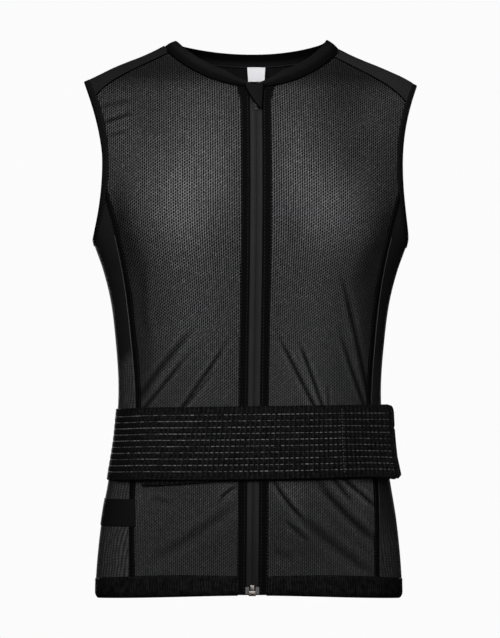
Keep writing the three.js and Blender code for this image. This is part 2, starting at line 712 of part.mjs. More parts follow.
// Lays a flat solid on the middle front, its back at some lift above the cloth
function laidSolid(body, x, height, lift) {
  const place = (u, v) => formPoint(FRONT, middleX(height) + x + 10 * (u - 0.5), height + 10 * (v - 0.5), false);
  const normal = patchNormal(place, 0.5, 0.5, outwardSign(place));
  const right = new THREE.Vector3(1, 0, 0);
  const up = normal.clone().cross(right);
  const turn = new THREE.Matrix4().makeBasis(right, up, normal);
  turn.setPosition(place(0.5, 0.5).addScaledVector(normal, lift));
  return body.applyMatrix4(turn);
}

// Looks of the materials
const MESH_KNIT = { color: '#454546', roughness: 0.8, metalness: 0 };
const SMOOTH_KNIT = { color: '#242426', roughness: 0.75, metalness: 0 };
const COLLAR_KNIT = { color: '#19191b', roughness: 0.75, metalness: 0 };
const SIDE_KNIT = { color: '#1d1d1f', roughness: 0.8, metalness: 0 };
const BLACK_TAPE = { color: '#101012', roughness: 0.85, metalness: 0 };
const ELASTIC = { color: '#141416', roughness: 0.85, metalness: 0 };
const GREY_TAPE = { color: '#343538', roughness: 0.8, metalness: 0 };
const PAD_COVER = { color: '#18181a', roughness: 0.8, metalness: 0 };
const WHITE_LABEL = { color: '#ededeb', roughness: 0.9, metalness: 0 };
const DARK_METAL = { color: '#5a5550', roughness: 0.35, metalness: 1 };
const WARM_METAL = { color: '#8a7a70', roughness: 0.35, metalness: 1 };
const GREY_FILM = { color: '#55565a', roughness: 0.4, metalness: 0 };

const vest = new THREE.Group();
vest.name = 'back_protector_vest';

function add(name, geometry, look) {
  for (const attribute of ['normal', 'uv']) geometry.deleteAttribute(attribute);
  const welded = mergeVertices(geometry, 1e-5);
  welded.translate(0, 0, -SEAT_HEIGHT);
  welded.computeVertexNormals();
  const mesh = new THREE.Mesh(welded, new THREE.MeshStandardMaterial(look));
  mesh.name = name;
  vest.add(mesh);
}

for (const [hand, name] of [[1, 'left'], [-1, 'right']]) {
  add(`front_mesh_${name}`, frontMesh(hand), MESH_KNIT);
  add(`side_panel_${name}`, sidePanel(hand), SIDE_KNIT);
  add(`seam_tape_${name}`, seamTape(hand), BLACK_TAPE);
  add(`shoulder_yoke_${name}`, shoulderYoke(hand), SMOOTH_KNIT);
  add(`armhole_binding_${name}`, armholeBinding(hand), BLACK_TAPE);
  const facingInner = ZIP_TAPE_OUTER + SEAM_GAP;
  add(`zip_facing_${name}`, frontStrip(hand, facingInner, FACING_OUTER, FACING_HALF, 21, 0.8), BLACK_TAPE);
  add(`zip_tape_${name}`, frontStrip(hand, ZIP_TAPE_INNER, ZIP_TAPE_OUTER, ZIP_TAPE_HALF, 21, 0.8), GREY_TAPE);
  const film = { near: { low: 4.9, high: 4.9 }, far: { low: 9, high: 9 } };
  const [filmLeft, filmRight] = hand > 0
    ? [film.near, film.far]
    : [{ low: -9, high: -9 }, { low: -4.9, high: -4.9 }];
  add(`zip_film_${name}`, laidOn(filmLeft, filmRight, 14.5, 22.5, 1.4, 1.9, 1, 1), GREY_FILM);
}
add('collar', collar(), COLLAR_KNIT);
add('zip_garage', laidOn({ low: 4.6, high: -13 }, { low: 7, high: 9 }, 590, 619, 4.3, 5.2, 3, 4), COLLAR_KNIT);
add('zip_slider', zipSlider(), DARK_METAL);
add('zip_box', zipBox(), WARM_METAL);
add('hem_band', hemBand(), ELASTIC);
add('belt_under', beltUnder(), ELASTIC);
add('belt_over', beltOver(), ELASTIC);
add('belt_hook_patch', beltHookPatch(), BLACK_TAPE);
add('side_tab', sideTab(), BLACK_TAPE);
add('back_panel', backPanel(), SIDE_KNIT);
add('back_protector', backProtector(), PAD_COVER);
add('neck_label', neckLabel(), WHITE_LABEL);

export default vest;
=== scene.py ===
# Back protector vest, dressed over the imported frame. Metres, +Z up, the zipped front faces -Y.
# The form is worked out in millimetres, with heights above the hem's lower edge at the sides.
import math

import bpy
import numpy as np
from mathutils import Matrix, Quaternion, Vector


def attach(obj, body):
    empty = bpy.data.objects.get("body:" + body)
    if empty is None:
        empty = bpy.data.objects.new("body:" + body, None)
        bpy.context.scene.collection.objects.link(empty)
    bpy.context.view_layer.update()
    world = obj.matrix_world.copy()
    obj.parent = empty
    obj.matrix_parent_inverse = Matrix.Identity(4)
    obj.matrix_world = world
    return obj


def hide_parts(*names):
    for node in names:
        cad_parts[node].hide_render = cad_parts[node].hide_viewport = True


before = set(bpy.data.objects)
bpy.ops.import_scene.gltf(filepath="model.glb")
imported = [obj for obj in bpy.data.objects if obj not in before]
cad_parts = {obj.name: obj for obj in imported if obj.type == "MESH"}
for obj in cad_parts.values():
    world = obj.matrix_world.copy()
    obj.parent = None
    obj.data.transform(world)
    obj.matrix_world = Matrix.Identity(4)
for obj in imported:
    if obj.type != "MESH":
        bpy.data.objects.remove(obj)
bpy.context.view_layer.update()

MM = 0.001
FRONT, BACK = -1, 1
HANDS = {"left": 1, "right": -1}

# Overall sizes, those of the part's source or close to them
SEAT_HEIGHT = 674
NECK_HALF = 108
SHOULDER_TIP = 205.5
SHOULDER_SLOPE = 0.4375
UNDERARM_HEIGHT = 438
ARMHOLE_WAIST = 182.1
ARMHOLE_WAIST_HEIGHT = 525
FRONT_NECK_DROP = 54
BACK_NECK_DROP = 14
NECK_ROUNDING = 0.85
FRONT_ROLL = 320
BACK_ROLL = 130
SQUARENESS = 2.3
CLOTH = 0.6
BINDING_WIDTH = 8
TAPE_HALF_WIDTH = 3.3
HEM_HEIGHT = 24.5
HEM_RISE = 12
HEM_LEVEL = 30.0  # the hem's angles are taken at this height
ZIP_LEAN = 0.007
ZIP_LEAN_FROM = 360
FACING_OUTER = 18
YOKE_START = 102
YOKE_END = 194
# Yoke seams: drop at the neck, fall along the seam, hook at its end
YOKE_FRONT_SEAM = {1: (16, 4, 15), -1: (11.3, 3.2, 13.5)}
YOKE_BACK_SEAM = (5, 35, 0)
PANEL_LEVEL = 570  # the panels' rows are level up to this height, which is this share of the way up
LEVEL_SHARE = 0.88
NET_TUCK = 2.0  # panels run this far under the trim round them

# Level sections: height, half width, depth before and behind the side line
TORSO = np.array([
    (-20, 187, 122, 112), (25, 186.5, 122, 112), (95, 180, 119, 107), (144, 172, 116, 101),
    (200, 163.5, 113.5, 94), (255, 160.5, 113, 91), (316, 164.5, 117, 96), (365, 171, 121, 103),
    (402, 180.5, 124, 109), (438, 193, 126, 114), (480, 201, 127, 118), (530, 206, 127, 121),
    (632, 212, 124, 119), (690, 214, 122, 118),
], float)
# Front side seam: height, distance from the middle
SIDE_SEAM = np.array([
    (0, 145.5), (58, 146.5), (143, 146), (236, 138.7), (320, 144), (386, 152), (449, 165.5), (482, 175),
    (510, 184),
], float)
SEAM_LEAN = 2.6
# Back protector: height, half width
PAD_OUTLINE = np.array([
    (112, 66), (140, 95), (190, 104), (245, 113), (340, 122), (450, 132), (520, 122), (568, 84),
], float)
# Creases in the front: from x and height, to x and height, sideways bend, width, depth
FOLDS = np.array([
    (-143, 233, -73, 325, -2.5, 5, 3.0), (-140, 220, -80, 295, 0.8, 3.4, 2.4),
    (-100, 213, -33, 310, 1, 3.8, 2.8), (-88, 226, -47.6, 276, 0, 3.2, 1.8),
    (29, 316, 90, 200, 0, 3.8, 2.8), (53, 310, 91, 207, -1, 3.4, 2.6), (87, 263, 92, 205, 0, 3.2, 1.4),
    (104.7, 384, 152, 200, -1, 4.4, 3.2), (103.5, 320, 149, 202, 1.5, 4, 2.8),
    (22, 148, 60, 100, 2, 4, 3.2), (56, 104, 145, 34, 2, 8, 3.4), (38, 99, 66, 75, 0, 4.5, 2.4),
    (76, 146, 154, 70, 4, 6.5, 3.8), (104, 152, 152, 112, 0, 4, 2.8), (92, 152, 118, 122, 0, 4, 2.0),
    (24, 64, 46, 53, 0, 8, 1.8),
    (-21, 140, -42, 122, 2, 3.2, 2.2), (-28, 114, -120, 52, -2, 8, 2.4), (-120, 126, -96, 118, 0, 5, 1.2),
    (-186, 597, -148, 604, 0, 5, 1.8), (-182, 577, -146, 587, 0, 4, 2.4), (-174, 560, -152, 565, 0, 4, 1.4),
    (-133, 400, -127, 312, 2, 7, 2.0),
    (150, 436, 128, 372, 0, 16, 3.2), (-152, 436, -130, 372, 0, 16, 3.2),
], float)
# Painted shade in the creases and a painted highlight beside them
CREASE_PAINTED_SHADE = 0.97
CREASE_PAINTED_HIGHLIGHT = 0.45
# Steps of each mesh along its piece, or along and across it
STEPS = {
    "panel": (60, 140), "back": (96, 132), "yoke": (40, 48), "pad": (144, 232), "label": (24, 24),
    "garage": (24, 30), "film": (4, 8), "tape": 150, "binding": 240, "collar": 260, "hem": 320, "zip": 220,
    "under": 160, "over": 260, "patch": 40, "tab": 60,
}
SETTLE_STEPS = 14
HALVINGS = 40


# Curves and shares
def mix(low, high, share):
    return low + (high - low) * share


def smoothstep(value, low, high):
    share = np.clip((value - low) / (high - low), 0, 1)
    return share * share * (3 - 2 * share)


def bell(value, middle, width):
    return np.exp(-((value - middle) / width) ** 2)


def even(count):
    return np.linspace(0, 1, count + 1)


def both(piece):
    return [even(count) for count in STEPS[piece]]


def unit(vectors):
    return vectors / np.maximum(np.linalg.norm(vectors, axis=-1, keepdims=True), 1e-12)


def run_along(line):
    """Distance from the start of a line at each of its points."""
    return np.concatenate([[0], np.cumsum(np.linalg.norm(np.diff(line, axis=0), axis=1))])


def settled(start, u, v, step):
    """At each place, the value that a step leaves as it is, found by repeating it."""
    value = np.full(np.broadcast(u, v).shape, float(start))
    for _ in range(SETTLE_STEPS):
        value = step(value)
    return value


def through(at, value):
    """A smooth curve through rows of a table, level beyond its ends."""
    secant = np.diff(value) / np.diff(at)
    slope = np.concatenate([secant[:1], (secant[1:] + secant[:-1]) / 2, secant[-1:]])

    def evaluate(place):
        place = np.clip(place, at[0], at[-1])
        row = np.clip(np.searchsorted(at, place, side="right") - 1, 0, len(at) - 2)
        after = row + 1
        span = at[after] - at[row]
        part = (place - at[row]) / span
        left = 1 - part
        near = (1 + 2 * part) * left ** 2 * value[row] + part * left ** 2 * span * slope[row]
        far = part * part * (3 - 2 * part) * value[after] - part * part * left * span * slope[after]
        return near + far

    return evaluate


torso_half, torso_front, torso_back = [through(TORSO[:, 0], TORSO[:, column]) for column in (1, 2, 3)]
plain_seam = through(*SIDE_SEAM.T)
pad_half = through(*PAD_OUTLINE.T)


# Body form
def torso_depth(side, height):
    return np.where(side == FRONT, torso_front(height), torso_back(height))


def seam_x(height, hand):
    """How far a front side seam is from the middle. Both lean a little towards +X low down."""
    return plain_seam(height) + hand * SEAM_LEAN * (1 - smoothstep(height, 130, 430))


def middle_x(height):
    return ZIP_LEAN * (height - ZIP_LEAN_FROM)


def ridge_height(x):
    return SEAT_HEIGHT - SHOULDER_SLOPE * (np.maximum(np.abs(x), YOKE_START) - NECK_HALF)


def round_off(side, x, height):
    drop = np.clip((ridge_height(x) - height) / np.where(side == FRONT, FRONT_ROLL, BACK_ROLL), 0, 1)
    return np.sqrt(drop * (2 - drop))


def fold_lines(x, height):
    """For each crease: distance in its widths, how much of it is there, its depth and its width."""
    for from_x, from_height, to_x, to_height, bend, width, depth in FOLDS:
        along_x, along_height = to_x - from_x, to_height - from_height
        length = math.hypot(along_x, along_height)
        share = ((x - from_x) * along_x + (height - from_height) * along_height) / length ** 2
        beside = ((x - from_x) * along_height - (height - from_height) * along_x) / length
        away = (beside - bend * 4 * share * (1 - share)) / width
        yield away, smoothstep(share, -0.15, 0.25) * (1 - smoothstep(share, 0.7, 1.15)), depth, width


def fold_shift(x, height):
    shift = np.zeros(np.broadcast(x, height).shape)
    for away, ends, depth, _ in fold_lines(x, height):
        shift -= depth * ends * (1 - 1.2 * away * away) * np.exp(-away * away)
    return shift


def crease_painted_shade_and_highlight(x, height):
    """Painted shade in a crease, and a painted highlight on the cloth beside it: a factor of the tone."""
    tone = np.ones(np.broadcast(x, height).shape)
    for away, ends, depth, width in fold_lines(x, height):
        steep = ends * np.minimum(1, 1.25 * depth / width)
        beside = bell(np.abs(away), 1.35, 0.6)
        tone *= (1 - CREASE_PAINTED_SHADE * steep * np.exp(-2.8 * away * away)) * (1 + CREASE_PAINTED_HIGHLIGHT * steep * beside)
    return tone


def joined(x, y, height):
    return np.stack(np.broadcast_arrays(x, y, height), -1).astype(float)


def across_share(x, height):
    return np.maximum(0, 1 - (np.abs(x) / torso_half(height)) ** SQUARENESS) ** (1 / SQUARENESS)


def form_point(side, x, height, creased=True):
    """A point of the body form seen from the front or the back."""
    across = across_share(x, height)
    crease = fold_shift(x, height) * np.minimum(1, 2 * across) if creased else 0.0
    depth = torso_depth(side, height) * across * round_off(side, x, height)
    return joined(x, side * (depth + np.where(side == FRONT, crease, 0)), height)


def ring_point(angle, height, creased=True):
    """A point of the body form at an angle from the middle front towards +X."""
    side = np.where(np.cos(angle) > 0, FRONT, BACK)
    depth = torso_depth(side, height)
    wide = (np.abs(np.sin(angle)) / torso_half(height)) ** SQUARENESS
    deep = (np.abs(np.cos(angle)) / depth) ** SQUARENESS
    reach = (wide + deep) ** (-1 / SQUARENESS)
    x = np.sin(angle) * reach
    y = -np.cos(angle) * reach * round_off(side, x, height)
    crease = fold_shift(x, height) * np.minimum(1, 2 * np.abs(y) / depth) if creased else 0.0
    return joined(x, y + side * np.where(side == FRONT, crease, 0), height)


def angle_at(side, x, height):
    return np.arctan2(x, -side * torso_depth(side, height) * across_share(x, height))


def shoulder_end(inset):
    return SHOULDER_TIP - inset * math.cos(math.atan(SHOULDER_SLOPE))


def armhole_x(height, inset):
    tip = shoulder_end(inset)
    upper = height > ARMHOLE_WAIST_HEIGHT
    end = np.where(upper, tip, torso_half(UNDERARM_HEIGHT - inset))
    end_height = np.where(upper, ridge_height(tip), UNDERARM_HEIGHT - inset)
    share = np.minimum(1, (height - ARMHOLE_WAIST_HEIGHT) / (end_height - ARMHOLE_WAIST_HEIGHT))
    return ARMHOLE_WAIST - inset + (end - ARMHOLE_WAIST + inset) * share * share


def seam_meets_armhole(beside, inset):
    """Height at which a line beside the front side seam runs into the armhole."""
    low, high = UNDERARM_HEIGHT + 0 * beside, ARMHOLE_WAIST_HEIGHT + 0 * beside
    for _ in range(HALVINGS):
        middle = (low + high) / 2
        before = plain_seam(middle) + beside < armhole_x(middle, inset)
        low, high = np.where(before, middle, low), np.where(before, high, middle)
    return low


def armhole_point(turn, inset):
    top = ridge_height(shoulder_end(inset))
    height = mix(UNDERARM_HEIGHT - inset, top, (1 + np.cos(2 * math.pi * turn)) / 2)
    return form_point(np.where(turn % 1 < 0.5, FRONT, BACK), armhole_x(height, inset), height)


def neck_height(side, x):
    drop = np.where(side == FRONT, FRONT_NECK_DROP, BACK_NECK_DROP)
    return SEAT_HEIGHT - drop * np.maximum(0, 1 - (x / NECK_HALF) ** 2) ** NECK_ROUNDING


def yoke_share(x):
    return np.clip((x - YOKE_START) / (YOKE_END - YOKE_START), 0, 1)


def yoke_drop(side, share, hand):
    pairs = zip(YOKE_FRONT_SEAM[hand], YOKE_BACK_SEAM)
    at_neck, fall, hook = [np.where(side == FRONT, *pair) for pair in pairs]
    return at_neck + fall * share + hook * share ** 6


def panel_top(side, x, hand):
    under_yoke = ridge_height(x) - yoke_drop(side, yoke_share(x), hand)
    under_yoke = np.minimum(neck_height(side, YOKE_START), under_yoke)
    return np.where(x < YOKE_START, neck_height(side, x), under_yoke)


def panel_height(low, top, v):
    """Heights of a panel's rows, level below and following its upper edge above."""
    level = mix(low, PANEL_LEVEL, v / LEVEL_SHARE)
    shaped = mix(PANEL_LEVEL, top + 1.0, (v - LEVEL_SHARE) / (1 - LEVEL_SHARE))
    return np.where(v < LEVEL_SHARE, level, shaped)


def hem_lift(angle):
    return HEM_RISE * np.maximum(0, np.cos(angle)) ** 0.9


def hem_tall(angle):
    front = np.maximum(0, np.cos(angle))
    return HEM_HEIGHT + np.where(front > 0, 2 * np.sin(2 * angle) ** 2, 0) - 1.5 * front ** 6


def hem_top(angle):
    return hem_tall(angle) + hem_lift(angle)


def hem_under(x):
    """The hem's upper edge below a place on the front."""
    return hem_top(angle_at(FRONT, x, HEM_LEVEL))


def front_edge(height, hand, beside=0.0):
    at_binding = armhole_x(height, BINDING_WIDTH - beside)
    at_seam = seam_x(height, hand) - TAPE_HALF_WIDTH + beside
    return np.where(height > ARMHOLE_WAIST_HEIGHT, at_binding, np.minimum(at_binding, at_seam))


def patch_normal(place, u, v):
    """The direction square to a patch, pointing out of the body."""
    step = 1e-3

    def square_at(u, v):
        along_u = place(np.minimum(1, u + step), v) - place(np.maximum(0, u - step), v)
        along_v = place(u, np.minimum(1, v + step)) - place(u, np.maximum(0, v - step))
        return np.cross(along_u, along_v)

    half = np.array(0.5)
    middle = place(half, half)
    outward = np.sign(np.dot(square_at(half, half), [middle[0], middle[1], 60]))
    return outward * unit(square_at(u, v))


def lifted(place, u, v, lift):
    """Points at a lift above a patch, and the direction out of it at each."""
    square = patch_normal(place, u, v)
    return place(u, v) + square * np.asarray(lift)[..., None], square


# Mesh building
SHARP_ANGLE = math.radians(42)
MIDDLE_STEPS = 12
THREAD_SIDES = 5
THREAD_RINGS = [(-0.34, 0.85), (0.0, 1.0), (0.34, 0.85)]  # place along a thread, share of its radius
THREAD_SINK = 0.7
CORD_SIDES = 8


def make_piece(name, built, look, node=None, sharp=True):
    """A mesh object in the frame, riding on the root, that may stand for one of its nodes."""
    points, faces, uv = built[:3]
    faces = faces if isinstance(faces, list) else [faces]
    sizes = np.concatenate([np.full(len(part), part.shape[1]) for part in faces])
    corners = np.concatenate([part.ravel() for part in faces])
    mesh = bpy.data.meshes.new(name)
    mesh.vertices.add(len(points))
    mesh.vertices.foreach_set("co", ((points - [0, 0, SEAT_HEIGHT]) * MM).ravel())
    mesh.loops.add(len(corners))
    mesh.loops.foreach_set("vertex_index", corners.astype(np.int32))
    mesh.polygons.add(len(sizes))
    mesh.polygons.foreach_set("loop_start", (np.cumsum(sizes) - sizes).astype(np.int32))
    mesh.polygons.foreach_set("use_smooth", np.ones(len(sizes), bool))
    layer = mesh.uv_layers.new(name="cloth")
    layer.data.foreach_set("uv", uv[corners].ravel())
    mesh.update(calc_edges=True)
    mesh.validate()
    if sharp:
        mesh.set_sharp_from_angle(angle=SHARP_ANGLE)
    mesh.materials.append(look)
    obj = bpy.data.objects.new(name, mesh)
    bpy.context.scene.collection.objects.link(obj)
    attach(obj, "root")
    if node:
        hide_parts(node)
    return obj


def tint_points(obj, tints):
    """A tone for each point, or one for all, read by the looks that are tinted."""
    shade = obj.data.attributes.new("tint", "FLOAT", "POINT")
    shade.data.foreach_set("value", np.broadcast_to(tints, len(obj.data.vertices)).astype(np.float32))


def outward(points, faces):
    """The same faces, turned to face out of the closed solid."""
    first, second, third, fourth = (points[faces[:, k]] for k in range(4))
    volume = (first * np.cross(second, third)).sum() + (first * np.cross(third, fourth)).sum()
    return faces if volume > 0 else faces[:, ::-1]


def arc_lengths(grid):
    """Distances along the two directions of a grid of points, as places on the flat cloth."""
    along = np.zeros(grid.shape[:2])
    across = np.zeros(grid.shape[:2])
    along[1:] = np.cumsum(np.linalg.norm(np.diff(grid, axis=0), axis=-1), axis=0)
    across[:, 1:] = np.cumsum(np.linalg.norm(np.diff(grid, axis=1), axis=-1), axis=1)
    return np.stack([along, across], -1)


def flat_size(grid):
    """The cut size of a patch of cloth in metres: width, length and area."""
    flat = arc_lengths(grid)
    one, two = grid[1:, 1:] - grid[:-1, :-1], grid[1:, :-1] - grid[:-1, 1:]
    area = np.linalg.norm(np.cross(one, two), axis=-1).sum() / 2
    return (flat[-1, :, 0].max() * MM, flat[:, -1, 1].max() * MM), area * MM * MM


def shell(place, us, vs, inner, outer):
    """Both faces of a patch and the rim round it: points, faces, places on the cloth, middle grid."""
    u, v = np.meshgrid(us, vs, indexing="ij")
    base, square = lifted(place, u, v, 0.0)
    layers = []
    for lift in (inner, outer):
        high = lift(u, v) if callable(lift) else np.full(u.shape, float(lift))
        layers.append((base + square * high[..., None]).reshape(-1, 3))
    count = u.size
    index = np.arange(count).reshape(u.shape)
    face = np.stack([index[:-1, :-1], index[1:, :-1], index[1:, 1:], index[:-1, 1:]], -1).reshape(-1, 4)
    loop = np.concatenate([index[:-1, 0], index[-1, :-1], index[:0:-1, -1], index[0, :0:-1]])
    after = np.roll(loop, -1)
    rim = np.stack([loop, after, after + count, loop + count], -1)
    points = np.concatenate(layers)
    uv = np.tile(arc_lengths(base).reshape(-1, 2), (2, 1))
    return points, outward(points, np.concatenate([face + count, face[:, ::-1], rim])), uv, base


def sweep(grid, closed=False):
    """Points, faces and places on the cloth of a grid whose rows are closed sections, capped at open ends."""
    points = grid.reshape(-1, 3)
    index = np.arange(len(points)).reshape(grid.shape[:2])
    near, far = (index, np.roll(index, -1, 0)) if closed else (index[:-1], index[1:])
    sides = np.stack([near, far, np.roll(far, -1, 1), np.roll(near, -1, 1)], -1).reshape(-1, 4)
    faces = [outward(points, sides)]
    if not closed:
        ends = np.stack([index[0], index[-1][::-1]])
        faces.append(ends if faces[0] is sides else ends[:, ::-1])
    return points, faces, arc_lengths(grid).reshape(-1, 2)


def band(place, outline, steps, closed=False, rise=lambda u: 0 * u):
    """A section of shares across and lifts, swept along a patch: as sweep gives it, with a middle grid."""
    stations = even(steps)[:-1] if closed else even(steps)
    u, across = np.meshgrid(stations, outline[:, 0], indexing="ij")
    grid = lifted(place, u, across, outline[None, :, 1] + rise(u))[0]
    u, across = np.meshgrid(stations, even(MIDDLE_STEPS), indexing="ij")
    return *sweep(grid, closed), lifted(place, u, across, rise(u))[0]


def upright(built, size):
    """The same band, with its weave set square across it."""
    points, faces, uv, middle = built
    flat = uv.reshape(-1, size, 2).copy()
    flat[..., 0] = flat[:, size // 4, :1]
    return points, faces, flat.reshape(-1, 2), middle


def strip_outline(width, low, high, inner_points=2, steps=3):
    """Section of a flat strip with rounded long edges."""
    radius, centre = (high - low) / 2, (high + low) / 2
    turn = np.linspace(-math.pi / 2, math.pi / 2, 2 * steps + 1)
    edge = min(radius, width / 4)
    far = np.stack([width - edge + edge * np.cos(turn), centre + radius * np.sin(turn)], -1)
    near = np.stack([edge - edge * np.cos(turn), centre - radius * np.sin(turn)], -1)
    spread = np.linspace(edge, width - edge, inner_points + 2)[1:-1]
    above = np.stack([spread[::-1], np.full(len(spread), high)], -1)
    below = np.stack([spread, np.full(len(spread), low)], -1)
    return np.concatenate([far, above, near, below]) / [width, 1]


# Threads, cords and stitches
def round_section(beside, square, sides):
    turn = np.arange(sides) * 2 * math.pi / sides
    return beside[:, None] * np.cos(turn)[:, None] + square[:, None] * np.sin(turn)[:, None]


def threads(name, centres, along, square, lengths, radius, look):
    """Short rounded lengths of thread laid along lines."""
    across = radius * round_section(np.cross(square, along), square, THREAD_SIDES)
    tips = [centres + along * (end * lengths)[:, None] - THREAD_SINK * radius * square for end in (-0.5, 0.5)]
    rings = [(centres + along * (place * lengths)[:, None])[:, None] + across * thick
             for place, thick in THREAD_RINGS]
    each = np.concatenate([tips[0][:, None], *rings, tips[1][:, None]], 1)
    count, size = each.shape[:2]
    first = 1 + np.arange(THREAD_SIDES)
    after = np.roll(first, -1)
    last = 2 * THREAD_SIDES
    ends = np.concatenate([np.stack([0 * first, after, first], -1),
                           np.stack([0 * first + size - 1, first + last, after + last], -1)])
    ring = np.stack([first, after, after + THREAD_SIDES, first + THREAD_SIDES], -1)
    sides = np.concatenate([ring, ring + THREAD_SIDES])
    shift = (np.arange(count) * size)[:, None, None]
    faces = [(ends + shift).reshape(-1, 3), (sides + shift).reshape(-1, 4)]
    uv = np.tile(np.linspace(0, 1, size)[:, None] * [1, 1], (count, 1))
    return make_piece(name, (each.reshape(-1, 3), faces, uv), look, None, False)


def cord_on(name, place, u, v, lift, radius, look, closed=False):
    """A round cord sewn along a line over a patch."""
    line, square = lifted(place, u, v, lift)
    ahead = np.roll(line, -1, 0) - np.roll(line, 1, 0) if closed else np.gradient(line, axis=0)
    grid = line[:, None] + radius * round_section(np.cross(unit(ahead), square), square, CORD_SIDES)
    return make_piece(name, sweep(grid, closed), look, None, False)


def spaced_on(place, u, across, lift, pitch):
    """Evenly spaced points on a line over a patch, with the line's and the patch's directions."""
    line = lifted(place, u, across, lift)[0]
    run = run_along(line)
    at = np.arange(pitch / 2, run[-1], pitch)
    centres, square = lifted(place, np.interp(at, run, u), np.interp(at, run, across), lift)
    step = 0.4
    along = [np.interp(at + step, run, part) - np.interp(at - step, run, part) for part in line.T]
    return centres, unit(np.stack(along, -1)), square


def stitch_rows(name, rows, look, pitch=4.0, length=2.7, radius=0.36):
    """Rows of stitches, each a patch, a line on it and the lift above it."""
    laid = [spaced_on(*row, pitch) for row in rows]
    centres, along, square = (np.concatenate(part) for part in zip(*laid))
    return threads(name, centres, along, square, np.full(len(centres), length), radius, look)


def line_along(place, across, lift, ends, count):
    return place, np.linspace(*ends, count), np.full(count, across), lift


def line_across(place, u, lift, ends, count):
    return place, np.full(count, u), np.linspace(*ends, count), lift


# Looks
class Wire:
    """A value among a look's nodes, which takes plain sums."""

    def __init__(self, look, socket):
        self.look, self.socket = look, socket

    def __add__(self, other):
        return self.look.math("ADD", self, other)

    def __mul__(self, other):
        return self.look.math("MULTIPLY", self, other)

    def __rsub__(self, other):
        return self.look.math("SUBTRACT", other, self)


class Look:
    """A procedural surface that follows the cloth's own places, in millimetres."""

    def __init__(self, name, roughness, specular=0.1, metallic=0.0):
        self.material = bpy.data.materials.new(name)
        self.material.use_nodes = True
        self.tree = self.material.node_tree
        self.shader = self.tree.nodes["Principled BSDF"]
        self.shader.inputs["Roughness"].default_value = roughness
        self.shader.inputs["Specular IOR Level"].default_value = specular
        self.shader.inputs["Metallic"].default_value = metallic

    def add(self, kind, output, inputs=(), **settings):
        """One output of a new node with these settings, and values or wires in its sockets."""
        node = self.tree.nodes.new(kind)
        for key, value in settings.items():
            setattr(node, key, value)
        for key, value in dict(inputs).items():
            self.feed(node.inputs[key], value)
        return Wire(self, node.outputs[output])

    def feed(self, socket, value):
        if isinstance(value, Wire):
            self.tree.links.new(value.socket, socket)
        else:
            socket.default_value = value

    def math(self, operation, *values):
        return self.add("ShaderNodeMath", 0, enumerate(values), operation=operation)

    def parts(self, vector):
        outputs = self.add("ShaderNodeSeparateXYZ", 0, {0: vector}).socket.node.outputs
        return [Wire(self, socket) for socket in outputs]

    def places(self):
        return self.parts(self.add("ShaderNodeUVMap", 0, uv_map="cloth"))[:2]

    def solid(self):
        return self.add("ShaderNodeTexCoord", "Object")

    def tint(self):
        return self.add("ShaderNodeAttribute", "Fac", attribute_name="tint")

    def wave(self, place, period, shift=0.0):
        turn = self.math("MULTIPLY_ADD", place, 2 * math.pi / period, shift)
        return self.math("MULTIPLY_ADD", self.math("COSINE", turn), 0.5, 0.5)

    def noise(self, scale, detail=3.0):
        return self.add("ShaderNodeTexNoise", 0, {"Vector": self.solid(), "Scale": scale, "Detail": detail})

    def step(self, value, low, high):
        inputs = {"Value": value, "From Min": low, "From Max": high}
        return self.add("ShaderNodeMapRange", 0, inputs, interpolation_type="SMOOTHSTEP")

    def blend(self, share, first, second):
        return self.math("MULTIPLY_ADD", share, self.math("SUBTRACT", second, first), first)

    def colour(self, share, dark, light):
        inputs = {"Factor": share, 6: (*dark, 1), 7: (*light, 1)}
        mixed = self.add("ShaderNodeMix", 2, inputs, data_type="RGBA", clamp_factor=True)
        self.feed(self.shader.inputs["Base Color"], mixed)

    def finish(self, share, dark, light, relief, depth, strength=0.8, warm=0.0):
        """Greys by a share from dark to light, and a relief of some depth. Gives the material."""
        self.colour(share, *[(grey * (1 + warm), grey, grey * (1.03 - warm)) for grey in (dark, light)])
        inputs = {"Strength": strength, "Distance": depth * MM, "Height": relief}
        self.feed(self.shader.inputs["Normal"], self.add("ShaderNodeBump", 0, inputs))
        return self.material


CLOUD_SCALE = 38  # soft unevenness of the dye, per metre
FIBRE_SCALE = 900
BELT_COLUMN = 5.77  # the belt's weave repeats along its length, in millimetres
PAD_DIMPLE = 0.0056  # between the dimples of the spacer mesh, in metres


def fabric(name, dark, light, along, across, weave, relief, roughness=0.85, specular=0.1, tinted=False):
    """Cloth whose columns and rows are given in millimetres."""
    look = Look(name, roughness, specular)
    around, upward = look.places()
    columns = look.wave(around, along)
    if weave == "knit":
        pattern = look.blend(0.55, columns, look.wave(upward, across, columns * 1.6))
    elif weave == "twill":
        pattern = look.blend(0.25, look.wave(around * (across / along) + upward, across), columns)
    else:
        pattern = columns * look.wave(upward, across)
    uneven = look.blend(0.35, look.noise(CLOUD_SCALE), look.noise(FIBRE_SCALE, 2.0))
    share = look.blend(0.3, pattern, uneven)
    return look.finish(share * look.tint() if tinted else share, dark, light, pattern, relief)


def net_look():
    look = Look("mesh_yarn", 0.75, 0.06)
    uneven = look.noise(FIBRE_SCALE, 2.0) * 0.3 + 0.85
    return look.finish(look.tint() * uneven, 0.004, 0.215, look.noise(2600, 2.0), 0.12)


def ground_look():
    """The close dark knit behind the net."""
    look = Look("mesh_ground_knit", 0.85, 0.03)
    around, upward = look.places()
    pattern = look.wave(around, 1.3) * look.wave(upward, 1.1)
    return look.finish(look.tint() * look.blend(0.5, pattern, 1.0), 0.0015, 0.017, pattern, 0.1)


